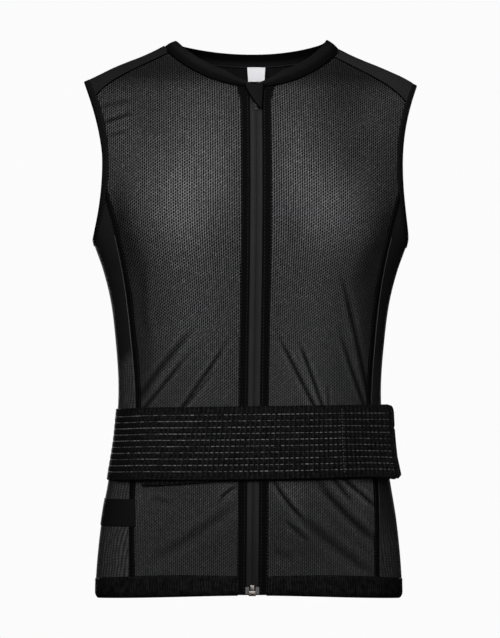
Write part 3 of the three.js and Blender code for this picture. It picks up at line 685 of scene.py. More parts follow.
def side_look():
    """Stretch knit, plain and dark high up, with a lighter streaky pattern lower down at the front: full on
    the -X side, fainter on the +X side away from the hem.
    """
    look = Look("side_stretch_knit", 0.85, 0.04)
    around, upward = look.places()
    drift = look.noise(22, 2.0) * 26.0
    columns = look.wave(upward * 0.2 + (around + drift), 6.2)
    rows = look.wave(upward + drift * 0.6, 3.1)
    pattern = look.blend(0.3, columns, rows) * (look.noise(150, 3.0) * 1.9)
    across, deep, height = look.parts(look.solid())
    low = look.step(deep * 0.45 + height, -0.395, -0.412)
    near_hem = look.step(height, -0.56, -0.61) * 0.5 + 0.2
    by_side = look.math("MAXIMUM", look.step(across, 0.05, -0.05), near_hem)
    lighter_streaks = low * (look.step(deep, -0.005, -0.05) * by_side) * pattern
    return look.finish(lighter_streaks + look.noise(CLOUD_SCALE) * 0.1, 0.008, 0.056, pattern, 0.3)


def belt_look():
    look = Look("belt_elastic", 0.85, 0.015)
    around, upward = look.places()
    columns = look.blend(0.45, look.wave(around, BELT_COLUMN), look.wave(around, BELT_COLUMN / 2))
    pattern = columns * (look.wave(upward, 2.48, columns * 2.4) * 0.6 + 0.4)
    uneven = look.math("POWER", look.noise(FIBRE_SCALE / 3, 3.0), 2.0) * 3.0
    return look.finish((pattern + 0.04) * uneven, 0.001, 0.018, pattern, 0.35)


def hem_look():
    """Ribbed elastic with uneven upright streaks."""
    look = Look("hem_rib", 0.85, 0.015)
    around, upward = look.places()
    columns = look.wave(around + look.noise(60, 2.0) * 7.0, 3.1)
    pattern = columns * (look.wave(upward, 2.2) * 0.4 + 0.6)
    uneven = look.math("POWER", look.noise(170, 3.0), 2.0) * 3.0
    return look.finish((pattern + 0.25) * uneven, 0.0008, 0.012, pattern, 0.35)


def pad_look():
    """Spacer mesh with a honeycomb of shallow dimples."""
    look = Look("pad_cover_mesh", 0.8, 0.12)
    across, _, height = look.parts(look.solid())
    level = look.wave(across, PAD_DIMPLE)
    one, two = [look.wave(height * lean + across * 0.5, PAD_DIMPLE) for lean in (0.866, -0.866)]
    pattern = 1.0 - look.step((level + (one + two)) * (1 / 3), 0.4, 0.85)
    uneven = look.blend(0.4, look.noise(CLOUD_SCALE), look.noise(FIBRE_SCALE, 2.0))
    return look.finish(look.blend(0.3, pattern, uneven), 0.006, 0.04, pattern, 0.5)


def speckled(look, dark, light, grain, relief, depth, strength=0.8, warm=0.0):
    """Plain stuff with a fine grain, or a tint where none is given. Grain and relief: scale and detail."""
    share = look.noise(*grain) if grain else look.tint()
    return look.finish(share, dark, light, look.noise(*relief), depth, strength, warm)


def thread_look(name, value):
    return speckled(Look(name, 0.7, 0.15), value * 0.6, value * 1.4, (700, 2.0), (3000, 2.0), 0.08)


def metal_look(name, dark, light, warm, roughness):
    look = Look(name, roughness, 0.5, 1.0)
    return speckled(look, dark, light, (420, 4.0), (1500, 3.0), 0.05, 0.5, warm)


NET = net_look()
GROUND = ground_look()
SIDE = side_look()
BELT = belt_look()
YOKE = fabric("yoke_knit", 0.003, 0.019, 1.5, 1.3, "knit", 0.2, 0.85, 0.04, True)
COLLAR = fabric("collar_knit", 0.0008, 0.0095, 1.2, 1.1, "knit", 0.15, 0.75, 0.03, True)
BACK_KNIT = fabric("back_knit", 0.007, 0.021, 1.9, 1.7, "knit", 0.25, 0.85, 0.05)
TAPE = fabric("woven_tape", 0.0015, 0.004, 1.4, 1.4, "twill", 0.15, 0.85, 0.015)
TAB_CLOTH = fabric("tab_tape", 0.005, 0.0105, 1.1, 1.0, "plain", 0.1, 0.85, 0.02)
BINDING = fabric("binding_knit", 0.0025, 0.0078, 1.3, 1.2, "knit", 0.15, 0.85, 0.02)
# Near-black cords: painted shadow along the seams and round the zip's flap, and the overlock on the belt's
# end
SEAM_SHADOW_AND_OVERLOCK = fabric("seam_shadow", 0.0006, 0.0015, 1.4, 1.4, "plain", 0.1, 0.9, 0.0)
HEM = hem_look()
ZIP_TAPE = fabric("zip_tape_weave", 0.007, 0.032, 1.3, 1.6, "twill", 0.15, 0.85, 0.05, True)
HOOKS = fabric("hook_patch", 0.004, 0.012, 1.8, 1.8, "plain", 0.6)
PAD = pad_look()
LABEL = fabric("label_weave", 0.66, 0.8, 0.9, 0.7, "plain", 0.1, 0.8, 0.2)
BLACK_THREAD = thread_look("black_thread", 0.007)
GREY_THREAD = thread_look("grey_thread", 0.015)
BELT_END_THREAD = thread_look("belt_end_thread", 0.085)
WHITE_THREAD = thread_look("white_thread", 0.6)
DASH_THREAD = speckled(Look("belt_dash_thread", 0.6, 0.2), 0.015, 0.24, None, (3000, 2.0), 0.08)
SLIDER_METAL = metal_look("slider_metal", 0.01, 0.045, 0.02, 0.38)
BOX_METAL = metal_look("box_metal", 0.12, 0.26, 0.1, 0.42)
FILM = speckled(Look("zip_film", 0.45, 0.35), 0.07, 0.12, (500, 3.0), (900, 2.0), 0.06, 0.5)


def add_sheet(name, built, look, node):
    """A piece of cloth. Its cut size is worked out, and nothing is done with it."""
    obj = make_piece(name, built, look, node)
    flat, area = flat_size(built[3])
    min(area, flat[0] * flat[1])
    return obj


# Front panels: an open net of six-sided holes over a close ground knit
NET_PITCH = 4.8  # between holes in a row; the rows between are set half a pitch aside
NET_ROW = 1.85
NET_HOLE = np.array([0.82, 0.5, 1.42])  # half width, half of the level end, half height
LONG_HOLE = np.array([0.66, 0.55, 1.7])  # low down and beside the zip
NET_STRETCH = 0.17  # the cloth is this much wider over the chest than at the waist
NET_STRETCH_FROM = (290, 480)
NET_REACH = (20, 676)  # lowest and highest places that the flat net is laid to
NET_LINE = 100.0  # its rows are spaced along the upright line at this distance from the middle
NET_WIDE = 260
FORM_WIDE = 214
HEIGHT_SAMPLES = 2600
WIDTH_SAMPLES = 300
NET_RIDGE = 0.34  # the yarn stands this much above the middle of the cloth, and its edges below it
NET_WANDER = 0.04
NET_SEED = 7
# Painted shade on the sunken edges of the holes, as a share of the yarn's tone
HOLE_EDGE_PAINTED_SHADE = 0.58
YARN_SPREAD = 0.26
LINING = (-0.9, -0.5)  # lifts of the ground knit's faces
NET_BASE_TONE = 0.2
GROUND_LOW = 0.9
# Painted light on the net's yarn: x, height, half width, half height, tone
NET_PAINTED_LIGHT = [
    (-90, 476, 46, 58, 0.42), (-58, 560, 52, 60, 0.22), (-70, 345, 48, 110, 0.16), (80, 474, 58, 54, 0.4),
    (45, 560, 36, 60, 0.18), (148, 590, 30, 40, 0.06), (65, 300, 60, 110, 0.11), (-155, 560, 28, 60, 0.1),
    (-44, 442, 15, 36, -0.1), (46, 446, 14, 36, -0.1), (-136, 136, 12, 22, 0.06), (-28, 136, 20, 12, 0.08),
    (38, 136, 24, 12, 0.15), (134, 130, 20, 22, 0.12), (-40, 466, 16, 70, 0.1), (60, 360, 40, 50, 0.04),
    (-46, 513, 18, 44, 0.08), (49, 513, 18, 40, 0.09), (114, 520, 20, 40, -0.05), (-145, 480, 16, 30, 0.07),
    (120, 450, 26, 24, 0.06), (42, 410, 22, 34, 0.06), (50, 114, 12, 20, 0.07),
]
# Painted shade on the net's yarn: x, height, half width, half height, share taken off
NET_PAINTED_SHADE = [
    (166, 440, 30, 70, 0.55), (134, 385, 30, 75, 0.42), (-160, 460, 15, 44, 0.6), (-146, 420, 20, 40, 0.3),
    (-132, 360, 30, 120, 0.32), (-150, 600, 34, 36, 0.2), (112, 612, 36, 26, 0.35), (60, 76, 60, 34, 0.28),
    (-70, 72, 70, 26, 0.18), (-88, 270, 30, 45, 0.24), (106, 280, 26, 50, 0.2),
]
TOP_PAINTED_SHADE = (612, 640, 0.75)  # painted shade under the collar and the yokes: from a height, to a height, share taken off
SIDE_PAINTED_SHADE = (26, 0.5, 215, 500)  # painted shade beside the side seams: width, share taken off, from a height, to a height


# The net yarn's painted light and shade: lighter and darker patches, painted shade under the collar and yokes
# and beside the side seams, and the creases' painted shade and highlight.
def net_painted_light_and_shade(x, height):
    tone = NET_BASE_TONE + 0 * x
    for at_x, at_height, half_x, half_height, most in NET_PAINTED_LIGHT:
        tone = tone + most * bell(x, at_x, half_x) * bell(height, at_height, half_height)
    for at_x, at_height, half_x, half_height, most in NET_PAINTED_SHADE:
        tone = tone * (1 - most * bell(x, at_x, half_x) * bell(height, at_height, half_height))
    from_height, to_height, most = TOP_PAINTED_SHADE
    tone = tone * (1 - most * smoothstep(height, from_height, to_height))
    width, most, low, high = SIDE_PAINTED_SHADE
    near_side = 1 - smoothstep(front_edge(height, np.sign(x)) - np.abs(x), 0, width)
    at_height = smoothstep(height, low, low + 30) * (1 - smoothstep(height, high - 50, high))
    return np.clip(tone * (1 - most * near_side * at_height), 0, 1) * crease_painted_shade_and_highlight(x, height)


def sixfold(half_width, half_end, half_height):
    """Corners of a six-sided shape with level ends, anticlockwise."""
    level = 0 * half_width
    across = np.stack([half_width, half_end, -half_end, -half_width, -half_end, half_end], -1)
    upward = np.stack([level, half_height, half_height, level, -half_height, -half_height], -1)
    return np.stack([across, upward], -1)


def hole_length(x, height):
    """How far the holes are drawn long, from 0 to 1."""
    return np.maximum(1 - smoothstep(height, 190, 290), 0.8 * bell(x, 46, 26))


def panel_inner(height, hand):
    return hand * middle_x(height) + FACING_OUTER - NET_TUCK


def net_panel(hand):
    """The net's points, faces and places, its flat size, its count of cells and its tones of painted light
    and shade.
    """
    heights = np.linspace(*NET_REACH, HEIGHT_SAMPLES)
    climbed = run_along(form_point(FRONT, np.full(heights.shape, NET_LINE), heights, False))
    rows, columns = np.arange(int(climbed[-1] / NET_ROW) + 1), np.arange(int(NET_WIDE / NET_PITCH))
    row, column = np.meshgrid(rows, columns, indexing="ij")
    centre = np.stack([(column + 0.5 * (row % 2)) * NET_PITCH, row * NET_ROW], -1).reshape(-1, 2)
    reach = ((NET_PITCH / 2) ** 2 + NET_ROW ** 2) / NET_PITCH
    corner = sixfold(*np.array([reach, reach - 2 * NET_ROW ** 2 / NET_PITCH, NET_ROW]))

    def on_body(flat):
        """Width and height on the body of places on the flat cloth."""
        height = np.interp(flat[:, 1], climbed, heights)
        level, where = np.unique(np.round(height, 3), return_inverse=True)
        xs = np.linspace(0, FORM_WIDE, WIDTH_SAMPLES)
        x = np.empty(len(flat))
        order = np.argsort(where, kind="stable")
        edges = np.searchsorted(where[order], np.arange(len(level) + 1))
        for k, value in enumerate(level):
            run = run_along(form_point(FRONT, xs, np.full(xs.shape, value), False))
            here = order[edges[k]:edges[k + 1]]
            wide = 1 + NET_STRETCH * smoothstep(value, *NET_STRETCH_FROM)
            x[here] = np.interp(flat[here, 0] * wide, run, xs)
        return x, height

    def limits(x, height):
        outer = front_edge(height, hand, NET_TUCK)
        top = panel_top(FRONT, np.clip(x, 0, outer), hand) + 1.2
        return panel_inner(height, hand), outer, hem_under(x) - NET_TUCK, top

    x, height = on_body(centre)
    inner, outer, bottom, top = limits(x, height)
    spare_x, spare_up = NET_PITCH / 2, NET_ROW / 2
    kept = (x > inner - spare_x) & (x < outer + spare_x)
    kept &= (height > bottom - spare_up) & (height < top + spare_up)
    centre = centre[kept]
    ring = centre[:, None] + corner[None]
    shared, index = np.unique(np.round(ring.reshape(-1, 2), 2), axis=0, return_inverse=True)
    index = index.reshape(-1, 6)
    long = hole_length(x[kept], height[kept])[:, None]
    holes = (centre[:, None] + sixfold(*mix(NET_HOLE, LONG_HOLE, long).T)).reshape(-1, 2)
    flat = np.concatenate([shared, holes])
    x, height = on_body(flat)
    chance = np.random.default_rng(NET_SEED + hand)
    wander = chance.normal(0, NET_WANDER, (len(flat), 2))
    x, height = x + wander[:, 0], height + wander[:, 1]
    inner, outer, bottom, top = limits(x, height)
    x, height = np.clip(x, inner, outer), np.clip(height, bottom, top)
    step = 0.5
    spot = form_point(FRONT, hand * x, height)
    side = form_point(FRONT, hand * x + step, height) - form_point(FRONT, hand * x - step, height)
    square = unit(np.cross(side, spot - form_point(FRONT, hand * x, height - step)))
    is_ridge = np.arange(len(flat)) < len(shared)
    points = spot + square * np.where(is_ridge, NET_RIDGE, -NET_RIDGE)[:, None]
    hole = len(shared) + np.arange(len(holes)).reshape(-1, 6)
    faces = np.stack([index, np.roll(index, -1, 1), np.roll(hole, -1, 1), hole], -1).reshape(-1, 4)
    faces = faces[:, ::-1] if hand < 0 else faces
    yarn = np.exp(chance.normal(0, YARN_SPREAD, len(flat)))
    # Each point's tint: the net's painted light and shade, random yarn tones on the tops, painted shade on
    # the hole edges
    tone = net_painted_light_and_shade(hand * x, height) * np.where(is_ridge, yarn, HOLE_EDGE_PAINTED_SHADE)
    return (points, faces, flat), (np.ptp(centre[:, 0]) * MM, np.ptp(centre[:, 1]) * MM), len(centre), tone


def front_place(hand):
    def across_to(height, u):
        return mix(panel_inner(height, hand), front_edge(height, hand, NET_TUCK), u)

    def place(u, v):
        top = settled(PANEL_LEVEL, u, v, lambda height: panel_top(FRONT, across_to(height, u), hand))
        height = panel_height(hem_under(across_to(np.array(HEM_LEVEL), u)) - NET_TUCK, top, v)
        return form_point(FRONT, hand * across_to(height, u), height)

    return place


for name, hand in HANDS.items():
    built, flat, cells, tone = net_panel(hand)
    panel = make_piece(f"mesh_{name}", built, NET, f"front_mesh_{name}", False)
    tint_points(panel, tone)
    built = shell(front_place(hand), *both("panel"), *LINING)
    lining = add_sheet(f"mesh_ground_{name}", built, GROUND, None)
    x, level = built[0][:, 0], built[0][:, 2]
    # Painted light and shade on the ground knit: the creases' painted shade low down, the net's painted light
    # and shade higher up
    low_painted_shade = GROUND_LOW * crease_painted_shade_and_highlight(x, level)
    tint_points(lining, mix(low_painted_shade, net_painted_light_and_shade(x, level), smoothstep(level, 200, 430)))
    cells * NET_PITCH * NET_ROW * MM * MM


# Back and side panels and the shoulder yokes
YOKE_RISE = {  # how far the yoke stands above the plain shoulder line: distance from the middle, rise
    1: [(102, 1.6), (108, 1.4), (124, 0.6), (140, 1.0), (156, 1.9), (172, 2.3), (187, 2.3), (198, 1.2),
        (206, 0)],
    -1: [(102, 3.0), (106, 2.9), (119, 1.6), (136, 1.1), (152, 1.8), (169, 2.0), (186, 0.9), (201, 0)],
}
# Painted light and shade: the yokes' tints differ by side, the left one lighter
YOKE_PAINTED_LIGHT = {"left": 2.0, "right": 0.88}
YOKE_LIFT = (-0.3, CLOTH + 0.5)
PANEL_INSET = BINDING_WIDTH - NET_TUCK
UNDER_TAPE = TAPE_HALF_WIDTH - 1.6  # the side panel starts this far behind the front seam
BACK_WIDE = 190  # half width of the back where the yokes start


def back_place(u, v):
    across = 2 * u - 1

    def edge(height):
        at_binding = armhole_x(height, PANEL_INSET)
        return np.where(height > ARMHOLE_WAIST_HEIGHT, at_binding, np.minimum(at_binding, plain_seam(height)))

    top = settled(PANEL_LEVEL, u, v, lambda height: panel_top(BACK, np.abs(across) * edge(height), 1))
    height = panel_height(HEM_HEIGHT - NET_TUCK, top, v)
    return form_point(BACK, across * edge(height), height)


def side_place(hand):
    low_edge = UNDERARM_HEIGHT - PANEL_INSET
    reach = seam_meets_armhole(np.array(UNDER_TAPE), PANEL_INSET) - low_edge
    start = np.arccos(2 * reach / (ridge_height(shoulder_end(PANEL_INSET)) - low_edge) - 1) / (2 * math.pi)

    def angle(height, u):
        front = angle_at(FRONT, seam_x(height, hand) + UNDER_TAPE, height)
        return mix(front, angle_at(BACK, plain_seam(height), height), u)

    def place(u, v):
        edge = armhole_point(mix(start, 1 - start, u), PANEL_INSET)
        edge_x, edge_y, edge_height = edge[..., 0], edge[..., 1], edge[..., 2]
        height = mix(hem_top(angle(HEM_LEVEL, u)) - NET_TUCK, edge_height, v)
        shape = round_off(np.where(u < 0.5, FRONT, BACK), edge_x, edge_height)
        turned = np.arctan2(edge_x, -edge_y / shape)
        return ring_point(hand * (angle(height, u) + v ** 4 * (turned - angle(edge_height, u))), height)

    return place


def yoke_place(hand):
    rise = through(*np.array(YOKE_RISE[hand], float).T)

    def place(u, v):
        over = 2 * v - 1
        side = np.where(over < 0, FRONT, BACK)

        def height_at(x, share):
            return ridge_height(x) - (yoke_drop(side, share, hand) + 0.6) * over ** 2

        outer = settled(YOKE_END, u, v, lambda x: armhole_x(height_at(x, 1.0), PANEL_INSET))
        x = mix(NECK_HALF - 0.5 - (NECK_HALF - YOKE_START + 1.5) * over ** 2, outer, u)
        spot = form_point(side, hand * x, height_at(x, yoke_share(x)))
        spot[..., 2] += rise(x) * (1 - over ** 2) ** 2
        return spot

    return place


back_across, back_up = both("back")
yoke_starts = [0.5 - YOKE_START / 2 / BACK_WIDE, 0.5 + YOKE_START / 2 / BACK_WIDE]
back_across = np.sort(np.concatenate([back_across, yoke_starts]))
built = shell(back_place, back_across, back_up, -CLOTH, CLOTH)
add_sheet("back_cloth", built, BACK_KNIT, "back_panel")
for name, hand in HANDS.items():
    built = shell(side_place(hand), *both("panel"), -CLOTH, CLOTH)
    add_sheet(f"side_cloth_{name}", built, SIDE, f"side_panel_{name}")
    built = shell(yoke_place(hand), *both("yoke"), *YOKE_LIFT)
    yoke = add_sheet(f"yoke_cloth_{name}", built, YOKE, f"shoulder_yoke_{name}")
    tint_points(yoke, YOKE_PAINTED_LIGHT[name])


# Tapes, bindings, collar and hem
COLLAR_HEIGHT = 17
COLLAR_END = 2.5
COLLAR_END_HEIGHT = 4
COLLAR_TAPER = 36
COLLAR_LEAN = {"front": 0.35, "left": 0.88, "right": 1.03, "back": 0.26}
COLLAR_SIDE_RISE = {"left": 3.4, "right": 1.2}  # the collar is this much wider over the shoulders
COLLAR_SWELL = 1.3
# Painted light on the collar: a highlight low on its inside face, painted shade on its left side
COLLAR_INSIDE_PAINTED_LIGHT = 1.2
COLLAR_LEFT_PAINTED_SHADE = 0.78
COLLAR_EDGE_PAINTED_HIGHLIGHT = 2.0  # painted highlight along the folded edge at the front
HEM_ENDS_HEIGHT = 20.0
HEM_ENDS = [middle_x(HEM_ENDS_HEIGHT) + hand * (FACING_OUTER - 1) for hand in (1, -1)]
HEM_START, HEM_END = [float(angle_at(FRONT, x, HEM_ENDS_HEIGHT)) for x in HEM_ENDS]
HEM_CURL = (0.3, 3.4)  # share of the hem's height that is drawn in, and how far


def tape_place(hand):
    def place(u, across):
        beside = mix(-TAPE_HALF_WIDTH, TAPE_HALF_WIDTH, across)
        top = seam_meets_armhole(beside, BINDING_WIDTH - 2)
        height = mix(hem_under(seam_x(HEM_LEVEL, hand)) - 1, top, u)
        return form_point(FRONT, hand * (seam_x(height, hand) + beside), height)

    return place


def binding_place(hand):
    def place(u, across):
        return armhole_point(u % 1, BINDING_WIDTH * across) * [hand, 1, 1]

    return place


def collar_place(u, across):
    first = math.asin(COLLAR_END / NECK_HALF)
    angle = mix(first, 2 * math.pi - first, u)
    front, left = np.cos(angle) > 0, np.sin(angle) > 0
    side = np.where(front, FRONT, BACK)
    x = NECK_HALF * np.sin(angle)
    base = form_point(side, x, neck_height(side, x), False)
    over = np.sin(angle) ** 2
    at_side = np.where(left, COLLAR_LEAN["left"], COLLAR_LEAN["right"])
    wider = np.where(left, COLLAR_SIDE_RISE["left"], COLLAR_SIDE_RISE["right"])
    tilt = mix(np.where(front, COLLAR_LEAN["front"], COLLAR_LEAN["back"]), at_side, over)
    inward = unit(joined(-base[..., 0], -10 - base[..., 1], 0))
    rise = joined(0 * tilt, 0 * tilt, np.cos(tilt)) + inward * np.sin(tilt)[..., None]
    taper = np.where(front, np.clip((np.abs(x) - COLLAR_END) / COLLAR_TAPER, 0, 1), 1)
    tall = mix(COLLAR_END_HEIGHT, COLLAR_HEIGHT, taper) + wider * over ** 1.5
    return base + rise * mix(-0.8, tall, across)[..., None]


def hem_place(u, across):
    angle = mix(HEM_START, HEM_END + 2 * math.pi, u)
    return ring_point(angle, hem_lift(angle) + hem_tall(angle) * across, False)


for name, hand in HANDS.items():
    built = band(tape_place(hand), strip_outline(2 * TAPE_HALF_WIDTH, -0.8, 1.15), STEPS["tape"])
    make_piece(f"tape_{name}", built, TAPE, f"seam_tape_{name}")
    built = band(binding_place(hand), strip_outline(BINDING_WIDTH, -1.3, 1.45, 3), STEPS["binding"], True)
    make_piece(f"binding_{name}", built, BINDING, f"armhole_binding_{name}")

collar_outline = strip_outline(COLLAR_HEIGHT, -1.2, 1.2, 10)
collar_share = collar_outline[:, 0]
outside = collar_outline[:, 1] > -0.6
collar_outline[outside, 1] += COLLAR_SWELL * np.sin(math.pi * collar_share[outside])
built = band(collar_place, collar_outline, STEPS["collar"])
collar = add_sheet("collar_band", built, COLLAR, "collar")
# Painted light and shade on the collar: a highlight on the folded front edge, shade on the left side, a
# highlight band high on the outer face with shade low by the seam, and a highlight low inside
turn = 2 * math.pi * even(STEPS["collar"])[:, None]
edge_painted_highlight = COLLAR_EDGE_PAINTED_HIGHLIGHT * bell(collar_share, 1, 0.07) * smoothstep(np.cos(turn), 0.25, 0.8)
left_painted_shade = mix(1, COLLAR_LEFT_PAINTED_SHADE, smoothstep(np.sin(turn), 0.1, 0.6))
outer_painted_light_and_shade = 0.25 + 1.2 * bell(collar_share, 0.7, 0.27)
face_painted_light = np.where(outside, outer_painted_light_and_shade, COLLAR_INSIDE_PAINTED_LIGHT * bell(collar_share, 0.25, 0.2))
tint_points(collar, (left_painted_shade * face_painted_light + edge_painted_highlight).ravel())

hem_outline = strip_outline(HEM_HEIGHT, -1.1, 1.25, 10)
hem_outline[:, 1] -= HEM_CURL[1] * np.clip(1 - hem_outline[:, 0] / HEM_CURL[0], 0, 1) ** 2
add_sheet("hem_cloth", band(hem_place, hem_outline, STEPS["hem"]), HEM, "hem_band")

# Zip and its facings
ZIP_TAPE_INNER = -0.02
ZIP_TAPE_OUTER = 7.5
FACING_INNER = ZIP_TAPE_OUTER - 0.4
FACING_FLARE = (596, 622, 4.8)  # from a height, to a height, how much wider
# Painted shade on the zip halves low down: their tone falls to this share at the foot
ZIP_LOW_PAINTED_SHADE = 0.4
ZIP_MIDDLE_TONE = 0.45
ZIP_EDGE_TONE = 0.75
ZIP_SECTION = np.array([  # half of a closed zip over its teeth: shares across and lifts
    (1.0, -0.5), (1.0, 0.35), (0.72, 0.42), (0.6, 0.2), (0.54, 0.2), (0.5, 0.55), (0.3, 0.95), (0.12, 1.0),
    (0.02, 0.7), (0.0, 0.1), (0.0, -0.5),
])
FILM_EDGES = {1: (4.0, 8.0), -1: (-8.0, -4.0)}
FILM_ENDS = (14.5, 22.5)
FILM_LIFT = (1.3, 1.9)
GARAGE_BULGE = 2.0
GARAGE_UNDER = 4.2  # lift of the flap's back
GARAGE_TONE = 1.15
RIM_POINTS = 40


def strip_place(hand, inner, outer, flared=False):
    from_height, to_height, most = FACING_FLARE

    def place(u, across):
        x = mix(inner, outer, across)
        height = mix(HEM_RISE + 1, neck_height(FRONT, x) - 0.6, u)
        if flared:
            x = x + most * across * smoothstep(height, from_height, to_height)
        return form_point(FRONT, middle_x(height) + hand * x, height)

    return place


def facing_place(hand):
    return strip_place(hand, FACING_INNER, FACING_OUTER, True)


def laid_place(left, right, low, high):
    """A patch on the zip with its edges' distances from the middle at the foot and at the top."""
    def place(u, v):
        height = mix(low, high, v)
        return form_point(FRONT, middle_x(height) + mix(mix(*left, v), mix(*right, v), u), height, False)

    return place


def garage_lift(u, v):
    return 5.0 + 0.5 * np.sin(math.pi * u) - 0.8 * (1 - v) ** 2


def garage_place(u, v):
    spot = laid_place((4.6, -13), (7, 9), 590, 620)(u, v)
    return spot - joined(GARAGE_BULGE * (1 - u) * np.sin(math.pi * v), 0, 0)


for name, hand in HANDS.items():
    built = band(facing_place(hand), strip_outline(FACING_OUTER - FACING_INNER, -0.7, 1.0, 3), STEPS["zip"])
    make_piece(f"facing_{name}", built, TAPE, f"zip_facing_{name}")
    built = band(strip_place(hand, ZIP_TAPE_INNER, ZIP_TAPE_OUTER), ZIP_SECTION, STEPS["zip"])
    half = make_piece(f"zip_half_{name}", built, ZIP_TAPE, f"zip_tape_{name}")
    across_tone = ZIP_MIDDLE_TONE + ZIP_EDGE_TONE * bell(ZIP_SECTION[:, 0], 0.55, 0.3)
    # Painted shade: the zip halves darken towards the foot
    low_painted_shade = mix(ZIP_LOW_PAINTED_SHADE, 1.0, smoothstep(built[0][:, 2], 20, 150))
    tint_points(half, np.tile(across_tone, STEPS["zip"] + 1) * low_painted_shade)
    near, far = FILM_EDGES[hand]
    film = shell(laid_place((near, near), (far, far), *FILM_ENDS), *both("film"), *FILM_LIFT)
    make_piece(f"film_{name}", film, FILM, f"zip_film_{name}")

built = shell(garage_place, *both("garage"), GARAGE_UNDER, garage_lift)
flap = make_piece("garage_flap", built, COLLAR, "zip_garage")
tint_points(flap, GARAGE_TONE)
# Painted shadow: a near-black cord round the flap's edges and tip
down = np.linspace(1, 0, RIM_POINTS)
u = np.concatenate([np.ones(RIM_POINTS), even(6)[::-1][1:-1], np.zeros(RIM_POINTS)])
v = np.concatenate([down, np.zeros(5), down[::-1]])
cord_on("garage_edge_shadow", garage_place, u, v, 4.5, 0.7, SEAM_SHADOW_AND_OVERLOCK)


def plates(name, height, parts, look, node):
    """Rounded plates on the zip's middle line. Each part is an outline and rings of inset and lift."""
    middle = np.array(0.5)
    origin, square = lifted(laid_place((-5, -5), (5, 5), height - 5, height + 5), middle, middle, 0.0)
    right = np.array([1.0, 0, 0])
    up = np.cross(square, right)
    points, quads, caps, first = [], [], [], 0
    for outline, rings in parts:
        centre, size = outline.mean(0), len(outline)
        away = outline - centre
        for inset, lift in rings:
            near = centre + away * (1 - inset / np.linalg.norm(away, axis=1, keepdims=True))
            points.append(origin + near[:, :1] * right + near[:, 1:] * up + lift * square)
        index = first + np.arange(len(rings) * size).reshape(len(rings), size)
        after = np.roll(index, -1, 1)
        quads.append(np.stack([index[:-1], after[:-1], after[1:], index[1:]], -1).reshape(-1, 4))
        caps += [index[:1, ::-1], index[-1:]]
        first += len(rings) * size
    points = np.concatenate(points)
    return make_piece(name, (points, [np.concatenate(quads)] + caps, points[:, [0, 2]]), look, node)


def rounded_outline(half_x, half_up, corner, middle=(0, 0), steps=5, taper=0.0):
    """Anticlockwise outline of a plate with round corners, narrower at the foot by the taper."""
    turn = np.linspace(0, math.pi / 2, steps)
    quarter = corner * np.stack([np.cos(turn), np.sin(turn)], -1)
    spots = []
    for quarters, (side, level) in enumerate([(1, 1), (-1, 1), (-1, -1), (1, -1)]):
        cosine, sine = math.cos(quarters * math.pi / 2), math.sin(quarters * math.pi / 2)
        turned = quarter @ np.array([[cosine, sine], [-sine, cosine]])
        spots.append(turned + [side * (half_x - corner), level * (half_up - corner)])
    outline = np.concatenate(spots)
    outline[:, 0] *= 1 - taper * (half_up - outline[:, 1]) / (2 * half_up)
    return outline + middle


def eased(low, high, ease):
    return [(0.0, low), (0.0, high - ease), (0.3 * ease, high - 0.3 * ease), (ease, high)]


plates("slider", 596, [
    (rounded_outline(4.6, 7.6, 2.6, taper=0.3), eased(1.0, 2.5, 0.5)),
    (rounded_outline(1.5, 4.8, 1.2, (0, 0.6)), eased(2.4, 3.9, 0.6)),
], SLIDER_METAL, "zip_slider")
plates("foot_box", 17.8, [
    (rounded_outline(4.5, 3.1, 1.2, (0, -2.8)), eased(1.4, 3.4, 0.8)),
    (rounded_outline(2.5, 3.9, 0.9, (0, 3.1)), eased(1.4, 3.0, 0.6)),
    (rounded_outline(2.9, 1.2, 0.8, (0.4, -2.6)), eased(3.3, 4.1, 0.5)),
], BOX_METAL, "zip_box")

# Waist belt: two ends of ribbed elastic, with a light dashed thread between the ribs
BELT_TOP = 235
BELT_BOTTOM = 148
BELT_LINES = 10
BELT_MARGIN = 0.115
BELT_THICK = 2.0
BELT_RIB = 0.6
BELT_TILT = 0.017
BELT_SIDE_SAG = 1.2
BELT_LEAVE = 0.86  # angle from the front where the free end leaves the body
BELT_FOLLOW = 0.86  # share of the over end that follows the body
BELT_FREE = 68
BELT_DROOP = 2.2  # the middle of the free end hangs down by this
BELT_CORNER = 3.6  # and its lower corner by this
SIDE_LIFT = 0.8
UNDER_LIFT = 1.6
OVER_LIFT = 5.8
LIFT_FROM = (0.24, 0.33)  # the ends rise from the side's lift over this share of their length
UNDER_END_X = -126
UNDER_SAG = 5
UNDER_SAG_FROM = -21
PATCH_START = 0.79
BELT_MIDDLE = (BELT_TOP + BELT_BOTTOM) / 2
LINE_PITCH = (1 - 2 * BELT_MARGIN) / (BELT_LINES - 1)
BELT_END = np.array([  # share of the belt's height, how far its free end runs past the plain length
    (0, -5), (0.025, 1.2), (0.06, 4.8), (0.3, 1.6), (0.66, 0.4), (0.69, -0.8), (0.73, 0.3), (0.9, 0),
    (0.95, -1.2), (0.98, -3.6), (1, -8),
])
DASH = {"pitch": BELT_COLUMN, "length": 5.1, "radius": 0.5, "seed": 3, "knots": 5}
BELT_SEWN_X = 102  # a row of stitches holds the hook patch here
BELT_END_X = BELT_SEWN_X + 56


